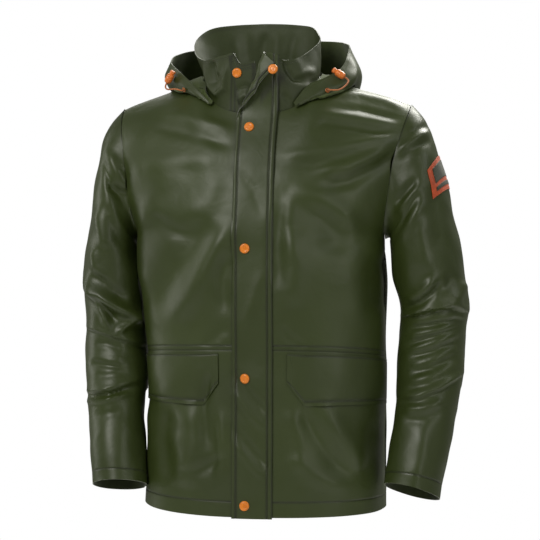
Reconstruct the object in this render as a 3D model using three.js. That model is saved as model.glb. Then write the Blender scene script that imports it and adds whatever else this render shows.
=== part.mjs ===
import * as THREE from 'three';

// Hip-length raincoat of coated cloth, filled out as if worn, in millimetres.
// The wearer faces -Y, +Z is up, +X is the wearer's left.
// The origin is the middle of the neck opening, level with the neck ends of the shoulder seams.

// Cloth and gaps
const WALL = 1.4;
const SEAM_GAP = 0.35;
const LAY_GAP = 0.35;
const FLAP_LAY = 0.9;
const POCKET_LAY = 1.3;
const TAB_LAY = 0.45;
const CENTRE_SHARE = 0.00013;
const FRONT_TRIM = 0.002;
const BODY_CLEAR = 3;
const SLEEVE_FREE_Z = -292;

// Neck opening and shoulders
const NECK_HALF_WIDTH = 98;
const NECK_FRONT_Y = -88;
const NECK_FRONT_Z = -70;
const NECK_BACK_Y = 75;
const NECK_BACK_Z = 15;
const NECK_SHIFT_X = -4;
const NECK_SHARE = 5 / 12;
const BACK_SHARE = 0.47;
const NECK_ROUNDING = 0.8;
const NECK_RISE = 0.92;
const SHOULDER_X = 250;
const SHOULDER_Y = 4;
const SHOULDER_Z = -52;

// Body lengths, measured down the cloth from the neck and shoulder seams
const ARMHOLE_END = 256;
const POCKET_SEAM = 444;
const HEM = 716;
const SIDE_DROP = 6;
const SECTION_POWER = 2 / 2.4;

// Storm flap and chin tab: free and seam edges in X, heights in Z
const FLAP_FREE_X = -34;
const FLAP_SEAM_X = 34;
const FLAP_TOP_FREE_X = -24;
const FLAP_TOP_S = -96;
const FLAP_HANG = 2;
const FOLD_FOOT = { x: -31, s: 17 };
const FOLD_TOP = { x: 17, s: -96 };
const FOLD_RADIUS = 5;
const FOLD_ANGLE = 158;
const COLLAR_HEIGHT = 92;
const NECK_EASE = 14;
const TAB_TOP_S = -84;
const TAB_END_S = 110;
const TAB_TOP_X = -48;
const TAB_FREE_X = -34;
const TAB_INNER_X = -3;

// Hood: how far its cloth lies off the body, and its foot off the neck seam
const HOOD_LAY = 3.2;
const HOOD_STAND_OFF = 2.6;
const HOOD_FOOT_OUT = 3.4;
const HOOD_FOOT_UP = 2.4;

// Pocket flaps, from the pocket seam down
const POCKET_FLAP_START = 5;
const POCKET_FLAP_INNER_X = 58;
const POCKET_FLAP_CORNER_X = 86;
const POCKET_FLAP_INNER_DEPTH = 50;
const POCKET_FLAP_CORNER_DEPTH = 86;
const POCKET_FLAP_SIDE_DEPTH = 76;
const POCKET_FLAP_SIDE_SHARE = 0.97;

// Snaps, eyelets, cord locks, patch
const SNAP_RADIUS = 8.3;
const SNAP_HEIGHT = 3.2;
const EYELET_LAY = 1.1;
const EYELET_RADIUS = 4.2;
const EYELET_HOLE = 2.2;
const EYELET_HEIGHT = 1.4;
const CORD_RADIUS = 1.4;
const LOCK_RADIUS = 6.5;
const LOCK_LENGTH = 24;
const LOCK_LAY = 1.5;
const PATCH_WALL = 1;
const PATCH_LAY = 0.5;
const PATCH_SPAN = { from: 0.145, to: -0.07, top: 82, bottom: 138 };

// Grid steps of the cloth walls
const ARMHOLE_ROWS = 10;
const CHEST_ROWS = 5;
const SKIRT_ROWS = 6;
const PANEL_COLUMNS = 12;
const SLEEVE_SIDES = 2 * ARMHOLE_ROWS;
const SLEEVE_STEPS = 28;
const COLLAR_ROWS = 6;
const HOOD_ROWS = 12;
const HOOD_CROWDING = 1.25;
const FLAP_COLUMNS = 12;
const FLAP_ROLL_END = 24;
const CORD_STEPS = 16;
const FITTING_SIDES = 12;

// Sections of the body below the shoulders.
// s is the distance down the cloth, wide the half width at the side or armhole edge, shift its lean in X,
// sideZ the height there, sweep the turned angle of the section. Each face has the y and z of its middle
// and the y of its edge.
const BODY_SECTIONS = [
  {
    s: 150, wide: 228, shift: -6.5, sideZ: -168, sweep: 52,
    front: { y: -134, z: -198, edgeY: -60 },
    back: { y: 122, z: -190, edgeY: 66 },
  },
  {
    s: 205, wide: 220, shift: -8, sideZ: -230, sweep: 62,
    front: { y: -142, z: -245, edgeY: -54 },
    back: { y: 127, z: -240, edgeY: 58 },
  },
  {
    s: 236, wide: 214, shift: -7.5, sideZ: -264, sweep: 74,
    front: { y: -144, z: -268, edgeY: -30 },
    back: { y: 128, z: -264, edgeY: 34 },
  },
  {
    s: 256, wide: 213, shift: -6.5, sideZ: -279, sweep: 90,
    front: { y: -145, z: -287, edgeY: 0 },
    back: { y: 128, z: -284, edgeY: 0 },
  },
  {
    s: 318, wide: 214, shift: -5, sideZ: -343, sweep: 90,
    front: { y: -147, z: -347, edgeY: 2 },
    back: { y: 126, z: -346, edgeY: 2 },
  },
  {
    s: 444, wide: 205.5, shift: 2, sideZ: -479, sweep: 90,
    front: { y: -143, z: -467, edgeY: 3 },
    back: { y: 116, z: -470, edgeY: 3 },
  },
  {
    s: 574, wide: 205, shift: 3, sideZ: -604, sweep: 90,
    front: { y: -145, z: -598, edgeY: 3 },
    back: { y: 118, z: -600, edgeY: 3 },
  },
  {
    s: 716, wide: 208, shift: 0, sideZ: -732, sweep: 90,
    front: { y: -148, z: -743, edgeY: 2 },
    back: { y: 124, z: -742, edgeY: 2 },
  },
];

// Sections of the sleeves, from the outer (o) and inner (i) edge of each.
// y is the middle, deep the half depth, pitch how far the front edge stands above the middle.
const SLEEVE_LEFT_SECTIONS = [
  { s: 40, ox: 283, oz: -98, ix: 214, iz: -279, y: 3, deep: 70, pitch: 0 },
  { s: 100, ox: 303, oz: -157, ix: 215, iz: -287, y: 2, deep: 76, pitch: 0 },
  { s: 172, ox: 322, oz: -232, ix: 216, iz: -300, y: 1, deep: 76, pitch: 0 },
  { s: 245, ox: 339, oz: -313, ix: 220, iz: -343, y: 0, deep: 72, pitch: 0 },
  { s: 310, ox: 349, oz: -384, ix: 231, iz: -396, y: 2, deep: 68, pitch: 0 },
  { s: 366, ox: 344, oz: -440, ix: 231, iz: -448, y: 2, deep: 64, pitch: 4 },
  { s: 432, ox: 341, oz: -506, ix: 228, iz: -511, y: -12, deep: 60, pitch: 8 },
  { s: 504, ox: 331, oz: -577, ix: 227, iz: -577, y: -36, deep: 55, pitch: 12 },
  { s: 564, ox: 319, oz: -637, ix: 218, iz: -631, y: -54, deep: 50, pitch: 13 },
  { s: 640, ox: 306, oz: -715, ix: 213, iz: -693, y: -73, deep: 46, pitch: 14 },
];
const SLEEVE_RIGHT_SECTIONS = [
  { s: 40, ox: 280, oz: -90, ix: 226, iz: -281, y: 3, deep: 70, pitch: 0 },
  { s: 100, ox: 295, oz: -155, ix: 226, iz: -291, y: 2, deep: 76, pitch: 0 },
  { s: 172, ox: 307, oz: -235, ix: 224, iz: -308, y: 1, deep: 76, pitch: 0 },
  { s: 245, ox: 319, oz: -313, ix: 215, iz: -343, y: 0, deep: 72, pitch: 0 },
  { s: 310, ox: 320, oz: -376, ix: 213, iz: -392, y: 2, deep: 68, pitch: 0 },
  { s: 366, ox: 318, oz: -440, ix: 211, iz: -446, y: 2, deep: 64, pitch: 4 },
  { s: 432, ox: 316, oz: -506, ix: 208, iz: -507, y: -12, deep: 60, pitch: 8 },
  { s: 504, ox: 303, oz: -583, ix: 207, iz: -580, y: -37, deep: 55, pitch: 12 },
  { s: 564, ox: 296, oz: -638, ix: 200, iz: -634, y: -56, deep: 51, pitch: 13 },
  { s: 640, ox: 288, oz: -702, ix: 193, iz: -699, y: -77, deep: 46, pitch: 14 },
];

// Largest folds of the sleeves: around is the place round the sleeve (0 outer, 0.25 front, 0.5 inner),
// s the distance down it, half is the fold's half length round, and rise its height, a trough below zero.
const SLEEVE_LEFT_FOLDS = [
  { around: 0.16, s: 300, half: 0.26, slope: 120, rise: 7, width: 15 },
  { around: 0.2, s: 268, half: 0.24, slope: 90, rise: -6, width: 14 },
  { around: 0.2, s: 338, half: 0.28, slope: 60, rise: -7, width: 15 },
  { around: 0.2, s: 396, half: 0.26, slope: 80, rise: -6, width: 14 },
  { around: 0.7, s: 300, half: 0.26, slope: -70, rise: 6, width: 16 },
  { around: 0.72, s: 345, half: 0.24, slope: 50, rise: -6, width: 15 },
];
const SLEEVE_RIGHT_FOLDS = [
  { around: 0.22, s: 282, half: 0.26, slope: -150, rise: 8, width: 16 },
  { around: 0.26, s: 250, half: 0.2, slope: -120, rise: -6, width: 13 },
  { around: 0.24, s: 325, half: 0.28, slope: -70, rise: -7, width: 15 },
  { around: 0.24, s: 398, half: 0.26, slope: -20, rise: -6, width: 14 },
  { around: 0.7, s: 300, half: 0.26, slope: 70, rise: 6, width: 16 },
  { around: 0.72, s: 350, half: 0.24, slope: -50, rise: -6, width: 15 },
];

// Top edge of the collar. turn runs from -1 at the wearer's right front round the back to 1.
const COLLAR_TOP = [
  { turn: -1, x: -4, y: -94, z: 18 },
  { turn: -0.88, x: -38, y: -93, z: 28 },
  { turn: -0.8, x: -60, y: -86, z: 28 },
  { turn: -0.64, x: -96, y: -58, z: 24 },
  { turn: -0.46, x: -126, y: 0, z: 47 },
  { turn: -0.32, x: -128, y: 40, z: 74 },
  { turn: -0.18, x: -104, y: 70, z: 95 },
  { turn: 0, x: -20, y: 83, z: 102 },
  { turn: 0.18, x: 66, y: 71, z: 95 },
  { turn: 0.32, x: 86, y: 46, z: 79 },
  { turn: 0.46, x: 92, y: 16, z: 62 },
  { turn: 0.6, x: 81, y: -22, z: 42 },
  { turn: 0.72, x: 66, y: -52, z: 27 },
  { turn: 0.84, x: 44, y: -77, z: 20 },
  { turn: 0.94, x: 22, y: -88, z: 27 },
  { turn: 1, x: 4, y: -92, z: 28 },
];

// Hood laid back: at each turn round the neck the cloth runs from the neck seam to its lowest fold (low),
// its outer bulge (out) and the rim of the face opening (rim).
const HOOD_SECTIONS = [
  { turn: -0.735, low: [-82, -75, -56], out: [-86, -77, -53], rim: [-86, -76, -49] },
  { turn: -0.66, low: [-104, -66, -42], out: [-109, -68, -36], rim: [-105, -68, -29] },
  { turn: -0.58, low: [-128, -52, -31], out: [-135, -53, -18], rim: [-130, -50, -5] },
  { turn: -0.48, low: [-150, -32, -27], out: [-159, -31, -7], rim: [-149, -32, 11] },
  { turn: -0.38, low: [-166, 2, -22], out: [-180, 5, 3], rim: [-168, -4, 29] },
  { turn: -0.26, low: [-150, 66, -52], out: [-174, 68, -4], rim: [-160, 44, 48] },
  { turn: -0.13, low: [-92, 132, -104], out: [-122, 154, -44], rim: [-106, 114, 66] },
  { turn: 0, low: [-4, 150, -132], out: [-4, 192, -62], rim: [-6, 148, 78] },
  { turn: 0.13, low: [84, 132, -104], out: [110, 154, -46], rim: [92, 118, 74] },
  { turn: 0.27, low: [136, 66, -54], out: [157, 68, -6], rim: [134, 60, 62] },
  { turn: 0.4, low: [148, 2, -23], out: [161, 6, 1], rim: [143, 16, 46] },
  { turn: 0.52, low: [141, -30, -33], out: [151, -28, -13], rim: [134, -22, 12] },
  { turn: 0.63, low: [113, -53, -47], out: [121, -54, -30], rim: [107, -50, -9] },
  { turn: 0.73, low: [84, -70, -55], out: [91, -72, -42], rim: [79, -66, -25] },
  { turn: 0.788, low: [62, -80, -62], out: [64, -82, -58], rim: [60, -81, -53] },
];

// Snaps down the storm flap, by X and by the distance from the neck seam, and the chin tab's
const FLAP_SNAPS = [
  { x: -12, s: 31 },
  { x: -12, s: 268 },
  { x: -12, s: 491 },
  { x: -12, s: 697 },
];
const TAB_SNAP = { x: -34, s: -70 };
const CORNER_SNAP = { along: 99, beyond: 35 };

// Hood cords: places of the eyelet and the cord lock on the hood by X and Z, and the way the lock points
const HOOD_CORDS = {
  left: { eyelet: { x: 114, z: -31 }, lock: { x: 129, z: -5 }, way: [0.8, 0.1, -0.6] },
  right: { eyelet: { x: -133, z: -25 }, lock: { x: -156, z: -4 }, way: [-0.5, 0.2, -0.84] },
};

const vec = (x, y, z) => new THREE.Vector3(x, y, z);
const radians = (degrees) => degrees * Math.PI / 180;
const mix = (a, b, t) => a + (b - a) * t;
const smooth = (a, b, x) => THREE.MathUtils.smoothstep(x, a, b);
const bell = (distance, width) => Math.exp(-((distance / width) ** 2));

// Curves through knots that are spaced unevenly. At a corner the curve turns by the share given.
function curveThrough(knots, points, s, firstSlope = null, corner = { s: null, share: 0 }) {
  const last = knots.length - 1;
  let i = 0;
  while (i < last - 1 && s > knots[i + 1]) i += 1;
  const chord = (k) => points[k + 1].clone().sub(points[k]).divideScalar(knots[k + 1] - knots[k]);
  const slope = (k, ahead) => {
    if (k === 0) return firstSlope ? firstSlope.clone() : chord(0);
    if (k === last) return chord(last - 1);
    const before = knots[k] - knots[k - 1];
    const after = knots[k + 1] - knots[k];
    const even = chord(k - 1).multiplyScalar(after).addScaledVector(chord(k), before)
      .divideScalar(before + after);
    return knots[k] === corner.s ? even.lerp(chord(ahead ? k : k - 1), corner.share) : even;
  };
  const span = knots[i + 1] - knots[i];
  return hermite(points[i], slope(i, true).multiplyScalar(span), points[i + 1],
    slope(i + 1, false).multiplyScalar(span), (s - knots[i]) / span);
}

function hermite(p0, m0, p1, m1, t) {
  const t2 = t * t;
  const t3 = t2 * t;
  return p0.clone().multiplyScalar(2 * t3 - 3 * t2 + 1)
    .addScaledVector(m0, t3 - 2 * t2 + t)
    .addScaledVector(p1, 3 * t2 - 2 * t3)
    .addScaledVector(m1, t3 - t2);
}

// Body surface: side is 1 for the wearer's left and -1 for the right, u runs from the middle to the side
function topEdge(face, side, u) {
  const frontFace = face === 'front';
  if (u <= NECK_SHARE) {
    const angle = radians(90) * u / NECK_SHARE;
    const reach = Math.sin(angle) ** NECK_ROUNDING;
    const rest = Math.max(Math.cos(angle), 0);
    const x = side * NECK_HALF_WIDTH * reach + NECK_SHIFT_X * reach;
    const y = (frontFace ? NECK_FRONT_Y : NECK_BACK_Y) * rest ** NECK_ROUNDING;
    const z = frontFace ? NECK_FRONT_Z * rest ** NECK_RISE : NECK_BACK_Z * rest;
    return vec(x, y, z);
  }
  const t = (u - NECK_SHARE) / (1 - NECK_SHARE);
  const x = mix(side * NECK_HALF_WIDTH + NECK_SHIFT_X, side * SHOULDER_X, t);
  return vec(x, SHOULDER_Y * t, SHOULDER_Z * t);
}

function sectionPoint(face, side, u, row) {
  const angle = radians(row.sweep) * u;
  const end = radians(row.sweep);
  const reach = (Math.sin(angle) / Math.sin(end)) ** SECTION_POWER;
  const endRest = Math.max(Math.cos(end), 0) ** SECTION_POWER;
  const rest = (Math.max(Math.cos(angle), 0) ** SECTION_POWER - endRest) / (1 - endRest);
  const middle = row[face];
  const edgeZ = row.sideZ - side * SIDE_DROP * row.s / HEM;
  const x = (side * row.wide + row.shift) * reach;
  return vec(x, mix(middle.edgeY, middle.y, rest), mix(middle.z, edgeZ, u * u));
}

function bodyPoint(face, side, u, s) {
  const top = topEdge(face, side, u);
  const rows = BODY_SECTIONS.map((row) => sectionPoint(face, side, u, row));
  const knots = BODY_SECTIONS.map((row) => row.s);
  const forward = face === 'front' ? -1 : 1;
  const overShoulder = smooth(0, NECK_SHARE, u);
  const startWay = vec(0.04 * side * overShoulder, forward * mix(0.35, 0.95, overShoulder),
    -mix(0.94, 0.32, overShoulder)).normalize();
  const endWay = rows[1].clone().sub(rows[0]).normalize();
  if (s < knots[0]) {
    const size = rows[0].distanceTo(top);
    return hermite(top, startWay.multiplyScalar(size), rows[0], endWay.multiplyScalar(size), s / knots[0]);
  }
  return curveThrough(knots, rows, s, endWay, { s: ARMHOLE_END, share: smooth(0.55, 1, u) });
}

// Neck seam by turn: 0 is the middle of the back, 1 and -1 are the left and right ends at the front
function neckPoint(turn) {
  const side = turn < 0 ? -1 : 1;
  const part = Math.abs(turn);
  if (part < BACK_SHARE) return topEdge('back', side, NECK_SHARE * part / BACK_SHARE);
  return topEdge('front', side, NECK_SHARE * (1 - part) / (1 - BACK_SHARE));
}

function collarPoint(turn, v) {
  const foot = neckPoint(turn).add(vec(0, 0, SEAM_GAP));
  const top = curveThrough(COLLAR_TOP.map((row) => row.turn),
    COLLAR_TOP.map((row) => vec(row.x, row.y, row.z)), turn);
  const rise = top.distanceTo(foot);
  const footWay = vec(0, 0, rise);
  const topWay = top.clone().sub(foot);
  return hermite(foot, footWay, top, topWay, v);
}

// Rows of a panel: evenly spaced between its named heights
function rowsThrough(stops) {
  const rows = [];
  for (let k = 0; k < stops.length - 1; k += 1) {
    const [from, steps] = stops[k];
    const to = stops[k + 1][0];
    for (let j = 0; j < steps; j += 1) rows.push(mix(from, to, j / steps));
  }
  rows.push(stops[stops.length - 1][0]);
  return rows;
}

const armholeStops = [[0, ARMHOLE_ROWS], [ARMHOLE_END, CHEST_ROWS]];
const upperRows = rowsThrough([...armholeStops, [POCKET_SEAM - SEAM_GAP / 2, 0]]);
const skirtRows = rowsThrough([[POCKET_SEAM + SEAM_GAP / 2, SKIRT_ROWS], [HEM, 0]]);
const backRows = rowsThrough([...armholeStops, [POCKET_SEAM, SKIRT_ROWS], [HEM, 0]]);

// Samples of the panels' flat cells, which the pieces near them are kept clear of
const bodySamples = [];
const SAMPLE_PLACES = [1 / 8, 3 / 8, 5 / 8, 7 / 8];
for (const face of ['front', 'back']) {
  for (const side of [-1, 1]) {
    const facing = (face === 'front' ? 1 : -1) * side;
    for (let i = 0; i < PANEL_COLUMNS; i += 1) {
      for (let j = 0; j < backRows.length - 1; j += 1) {
        const corner = (di, dj) => bodyPoint(face, side, (i + di) / PANEL_COLUMNS, backRows[j + dj]);
        const corners = [corner(0, 0), corner(1, 0), corner(0, 1), corner(1, 1)];
        for (const a of SAMPLE_PLACES) {
          for (const b of SAMPLE_PLACES) {
            const above = corners[0].clone().lerp(corners[1], a);
            const below = corners[2].clone().lerp(corners[3], a);
            const across = corners[1].clone().sub(corners[0]).lerp(corners[3].clone().sub(corners[2]), b);
            const normal = below.clone().sub(above).cross(across).multiplyScalar(facing).normalize();
            bodySamples.push({ p: above.lerp(below, b), normal });
          }
        }
      }
    }
  }
}

function clearOfBody(point, clearance) {
  let best = null;
  let bestDistance = Infinity;
  for (const sample of bodySamples) {
    const distance = sample.p.distanceToSquared(point);
    if (distance < bestDistance) {
      bestDistance = distance;
      best = sample;
    }
  }
  const height = point.clone().sub(best.p).dot(best.normal);
  if (height < clearance) point.addScaledVector(best.normal, clearance - height);
  return point;
}

// A closed wall between a grid of outer points and the same grid moved in
function wallGeometry(grid, thickness, closed, seamNormal = null) {
  const columns = grid.length;
  const rows = grid[0].length;
  const positions = [];
  const normals = grid.map((column, i) => column.map((point, j) => {
    const fixed = seamNormal ? seamNormal(i, j) : null;
    if (fixed) return fixed;
    const left = closed ? grid[(i + columns - 1) % columns][j] : grid[Math.max(i - 1, 0)][j];
    const right = closed ? grid[(i + 1) % columns][j] : grid[Math.min(i + 1, columns - 1)][j];
    const above = column[Math.max(j - 1, 0)];
    const below = column[Math.min(j + 1, rows - 1)];
    return right.clone().sub(left).cross(below.clone().sub(above)).normalize();
  }));
  for (const layer of [0, 1]) {
    grid.forEach((column, i) => column.forEach((point, j) => {
      const p = point.clone().addScaledVector(normals[i][j], -layer * thickness);
      positions.push(p.x, p.y, p.z);
    }));
  }
  const at = (layer, i, j) => layer * columns * rows + (i % columns) * rows + j;
  const index = [];
  const quad = (a, b, c, d) => index.push(a, b, c, a, c, d);
  const cells = closed ? columns : columns - 1;
  for (let i = 0; i < cells; i += 1) {
    for (let j = 0; j < rows - 1; j += 1) {
      quad(at(0, i, j), at(0, i + 1, j), at(0, i + 1, j + 1), at(0, i, j + 1));
      quad(at(1, i, j), at(1, i, j + 1), at(1, i + 1, j + 1), at(1, i + 1, j));
    }
    quad(at(0, i, 0), at(1, i, 0), at(1, i + 1, 0), at(0, i + 1, 0));
    quad(at(0, i, rows - 1), at(0, i + 1, rows - 1), at(1, i + 1, rows - 1), at(1, i, rows - 1));
  }
  if (!closed) {
    for (let j = 0; j < rows - 1; j += 1) {
      quad(at(0, 0, j), at(0, 0, j + 1), at(1, 0, j + 1), at(1, 0, j));
      const end = columns - 1;
      quad(at(0, end, j), at(1, end, j), at(1, end, j + 1), at(0, end, j + 1));
    }
  }
  const geometry = new THREE.BufferGeometry();
  geometry.setAttribute('position', new THREE.Float32BufferAttribute(positions, 3));
  geometry.setIndex(index);
  geometry.computeVertexNormals();
  return geometry;
}

// Grid of points with u across and v down, both from 0 to 1
function gridOf(columns, rows, pointAt) {
  const grid = [];
  for (let i = 0; i <= columns; i += 1) {
    const column = [];
    for (let j = 0; j <= rows; j += 1) column.push(pointAt(i / columns, j / rows));
    grid.push(column);
  }
  return grid;
}

const raincoat = new THREE.Group();
raincoat.name = 'raincoat';

const COLOURS = { cloth: 0x4a5339, orange: 0xcb6312, cord: 0xc07a45, eyelet: 0xb06a2c, patch: 0xc24a20 };

function addPiece(name, geometry, colour, roughness = 0.45) {
  const material = new THREE.MeshStandardMaterial({ color: colour, roughness, metalness: 0 });
  const piece = new THREE.Mesh(geometry, material);
  piece.name = name;
  raincoat.add(piece);
  return piece;
}

// Shoulder and side seams stand square to the cloth on both sides, so their edges face each other
const shoulderNormal = (side) => vec(side * -SHOULDER_Z, 0, SHOULDER_X - NECK_HALF_WIDTH).normalize();

function panelWall(face, columns, sideFrom, sideTo, rows) {
  const forward = face === 'front' ? -1 : 1;
  const acrossAt = (i) => mix(sideFrom, sideTo, i / columns);
  const seamAt = (across, s) => (s === 0 ? across > NECK_SHARE - 0.001 : across > 0.999 && s >= ARMHOLE_END);
  const grid = [];
  for (let i = 0; i <= columns; i += 1) {
    const side = acrossAt(i) < 0 ? -1 : 1;
    const u = Math.abs(acrossAt(i));
    grid.push(rows.map((s) => {
      const point = bodyPoint(face, side, u, s);
      if (seamAt(u, s)) point.y += forward * SEAM_GAP / 2;
      return point;
    }));
  }
  return wallGeometry(grid, WALL, false, (i, j) => {
    const side = acrossAt(i) < 0 ? -1 : 1;
    if (!seamAt(Math.abs(acrossAt(i)), rows[j])) return null;
    return rows[j] === 0 ? shoulderNormal(side) : vec(side, 0, 0);
  });
}

// Upper fronts, lower fronts and back
for (const [name, from, to] of [['left', 1, CENTRE_SHARE], ['right', -CENTRE_SHARE, -1]]) {
  addPiece(`front_${name}`, panelWall('front', PANEL_COLUMNS, from, to, upperRows), COLOURS.cloth);
  addPiece(`skirt_${name}`, panelWall('front', PANEL_COLUMNS, from, to, skirtRows), COLOURS.cloth);
}
addPiece('back', panelWall('back', 2 * PANEL_COLUMNS, -1, 1, backRows), COLOURS.cloth);

// Sleeves: tubes from the armhole to the cuff
function armholePoint(side, around) {
  const front = around <= 0.5;
  const s = ARMHOLE_END * (front ? around / 0.5 : (1 - around) / 0.5);
  return bodyPoint(front ? 'front' : 'back', side, 1, s);
}

function sleevePoint(side, sections, folds, around, s) {
  const ringPoint = (row) => {
    const angle = radians(360) * around;
    const middle = vec((row.ox + row.ix) / 2, row.y, (row.oz + row.iz) / 2);
    const outward = vec((row.ox - row.ix) / 2, 0, (row.oz - row.iz) / 2);
    const toFront = vec(0, -row.deep, row.pitch);
    const p = middle.addScaledVector(outward, Math.cos(angle)).addScaledVector(toFront, Math.sin(angle));
    return vec(side * p.x, p.y, p.z);
  };
  const start = armholePoint(side, around);
  const points = [start.add(vec(side * SEAM_GAP * 1.3, 0, 0)), ...sections.map(ringPoint)];
  const knots = [0, ...sections.map((row) => row.s)];
  const point = curveThrough(knots, points, s);
  const lastRow = sections[sections.length - 1];
  const axis = vec(side * (mix(start.x * side, (lastRow.ox + lastRow.ix) / 2, s / lastRow.s)), 0, 0);
  const outwards = vec(point.x - axis.x, point.y, 0).normalize();
  for (const fold of folds) {
    let turn = around - fold.around;
    if (turn > 0.5) turn -= 1;
    if (turn < -0.5) turn += 1;
    if (Math.abs(turn) < fold.half) {
      const taper = Math.cos(radians(90) * turn / fold.half) ** 2;
      point.addScaledVector(outwards, fold.rise * taper * bell(s - fold.s - fold.slope * turn, fold.width));
    }
  }
  return point;
}

function addSleeve(name, side, sections, folds) {
  const length = sections[sections.length - 1].s;
  const grid = [];
  for (let i = 0; i < SLEEVE_SIDES; i += 1) {
    const column = [];
    for (let j = 0; j <= SLEEVE_STEPS; j += 1) {
      const s = length * j / SLEEVE_STEPS;
      const around = i / SLEEVE_SIDES;
      const point = sleevePoint(side, sections, folds, around, s);
      column.push(point.z < SLEEVE_FREE_Z ? clearOfBody(point, BODY_CLEAR) : point);
    }
    grid.push(column);
  }
  if (side === -1) grid.reverse();
  const armholeMiddle = armholePoint(side, 0).add(armholePoint(side, 0.5)).multiplyScalar(0.5);
  const seamNormal = (i, j) => {
    if (j > 0) return null;
    const way = grid[i][0].clone().sub(armholeMiddle);
    return way.setX(0).normalize();
  };
  addPiece(name, wallGeometry(grid, WALL, true, seamNormal), COLOURS.cloth);
}

addSleeve('sleeve_left', 1, SLEEVE_LEFT_SECTIONS, SLEEVE_LEFT_FOLDS);
addSleeve('sleeve_right', -1, SLEEVE_RIGHT_SECTIONS, SLEEVE_RIGHT_FOLDS);

// Collar: its foot follows the straight runs between the panels' neck points
function collarTurns(perPanelStep) {
  const turns = [];
  const steps = Math.round(NECK_SHARE * PANEL_COLUMNS);
  const knots = [];
  for (let i = 0; i < steps; i += 1) knots.push(mix(1, BACK_SHARE, i / steps));
  for (let i = 0; i <= 2 * steps; i += 1) knots.push(mix(BACK_SHARE, -BACK_SHARE, i / (2 * steps)));
  for (let i = 1; i <= steps; i += 1) knots.push(mix(-BACK_SHARE, -1, i / steps));
  for (let k = 0; k < knots.length - 1; k += 1) {
    for (let j = 0; j < perPanelStep; j += 1) turns.push([knots[k], knots[k + 1], j / perPanelStep]);
  }
  turns.push([-1, -1, 0]);
  return turns;
}

const collarGrid = collarTurns(2).map(([from, to, t]) => {
  const turn = THREE.MathUtils.clamp(mix(from, to, t), -1 + FRONT_TRIM, 1 - FRONT_TRIM);
  const foot = neckPoint(from).lerp(neckPoint(to), t).add(vec(0, 0, SEAM_GAP));
  if (t === 0) foot.x = neckPoint(turn).x;
  const column = [];
  for (let j = 0; j <= COLLAR_ROWS; j += 1) {
    const v = j / COLLAR_ROWS;
    const point = collarPoint(turn, v);
    column.push(point.addScaledVector(foot.clone().sub(collarPoint(turn, 0)), 1 - v));
  }
  return column;
});
addPiece('collar', wallGeometry(collarGrid, WALL, false), COLOURS.cloth);

// Hood: an open pouch round the collar, from the neck seam out to its rim
function hoodPoint(turn, share, seam = neckPoint(turn)) {
  const knots = HOOD_SECTIONS.map((row) => row.turn);
  const guide = (key) => curveThrough(knots, HOOD_SECTIONS.map((row) => vec(...row[key])), turn);
  const foot = seam.clone();
  const outward = vec(foot.x - NECK_SHIFT_X, foot.y, 0).normalize();
  foot.addScaledVector(outward, HOOD_FOOT_OUT).add(vec(0, 0, HOOD_FOOT_UP));
  const points = [foot, guide('low'), guide('out'), guide('rim')];
  const lengths = [0];
  for (let k = 1; k < points.length; k += 1) {
    lengths.push(lengths[k - 1] + points[k].distanceTo(points[k - 1]));
  }
  const total = lengths[points.length - 1];
  const lay = HOOD_LAY + HOOD_STAND_OFF * smooth(0, 0.12, share);
  return clearOfBody(curveThrough(lengths, points, share * total), lay);
}

const firstTurn = HOOD_SECTIONS[0].turn;
const lastTurn = HOOD_SECTIONS[HOOD_SECTIONS.length - 1].turn;
const hoodGrid = [];
for (const [from, to, t] of collarTurns(2)) {
  const turn = mix(from, to, t);
  if (turn > lastTurn + 0.01 || turn < firstTurn - 0.01) continue;
  const seam = neckPoint(from).lerp(neckPoint(to), t);
  const column = [];
  for (let j = 0; j <= HOOD_ROWS; j += 1) {
    column.push(hoodPoint(turn, (j / HOOD_ROWS) ** HOOD_CROWDING, seam));
  }
  hoodGrid.push(column);
}
addPiece('hood', wallGeometry(hoodGrid, WALL, false), COLOURS.cloth);

// Centre front: the fronts below the neck seam and the collar above it, by X and distance s from the seam
function centreFront(x, s) {
  const side = x < 0 ? -1 : 1;
  let low = 0;
  let high = s < 0 ? 0.5 : 0.6;
  const at = (share) => (s < 0 ? collarPoint(side * (1 - share), -s / COLLAR_HEIGHT)
    : bodyPoint('front', side, share, s));
  for (let k = 0; k < 24; k += 1) {
    const middle = (low + high) / 2;
    if (at(middle).x * side < x * side) low = middle;
    else high = middle;
  }
  const point = at((low + high) / 2);
  point.x = x;
  return point;
}

// The flaps bridge the hollow at the neck seam: the mean of nearby points eases the corner
function easedFront(x, s) {
  const steps = [-1, -0.5, 0, 0.5, 1];
  const reach = NECK_EASE * (1 - smooth(30, 90, s));
  const sum = vec(0, 0, 0);
  for (const step of steps) sum.add(centreFront(x, s + step * reach));
  return sum.divideScalar(steps.length);
}

function laidFront(x, s, height) {
  const point = easedFront(x, s);
  const across = easedFront(x + 4, s).sub(easedFront(x - 4, s));
  const down = easedFront(x, Math.min(s + 4, HEM)).sub(easedFront(x, s - 4));
  const normal = down.cross(across).normalize();
  return { point: point.addScaledVector(normal, height), normal };
}

// Storm flap: its top corner is rolled over a slanting fold and stands off
const flapLift = (s) => FLAP_LAY + WALL + (FLAP_LAY + WALL) * (1 - smooth(TAB_END_S, TAB_END_S + 40, s));
const foldWay = new THREE.Vector2(FOLD_TOP.x - FOLD_FOOT.x, FOLD_TOP.s - FOLD_FOOT.s).normalize();

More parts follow.
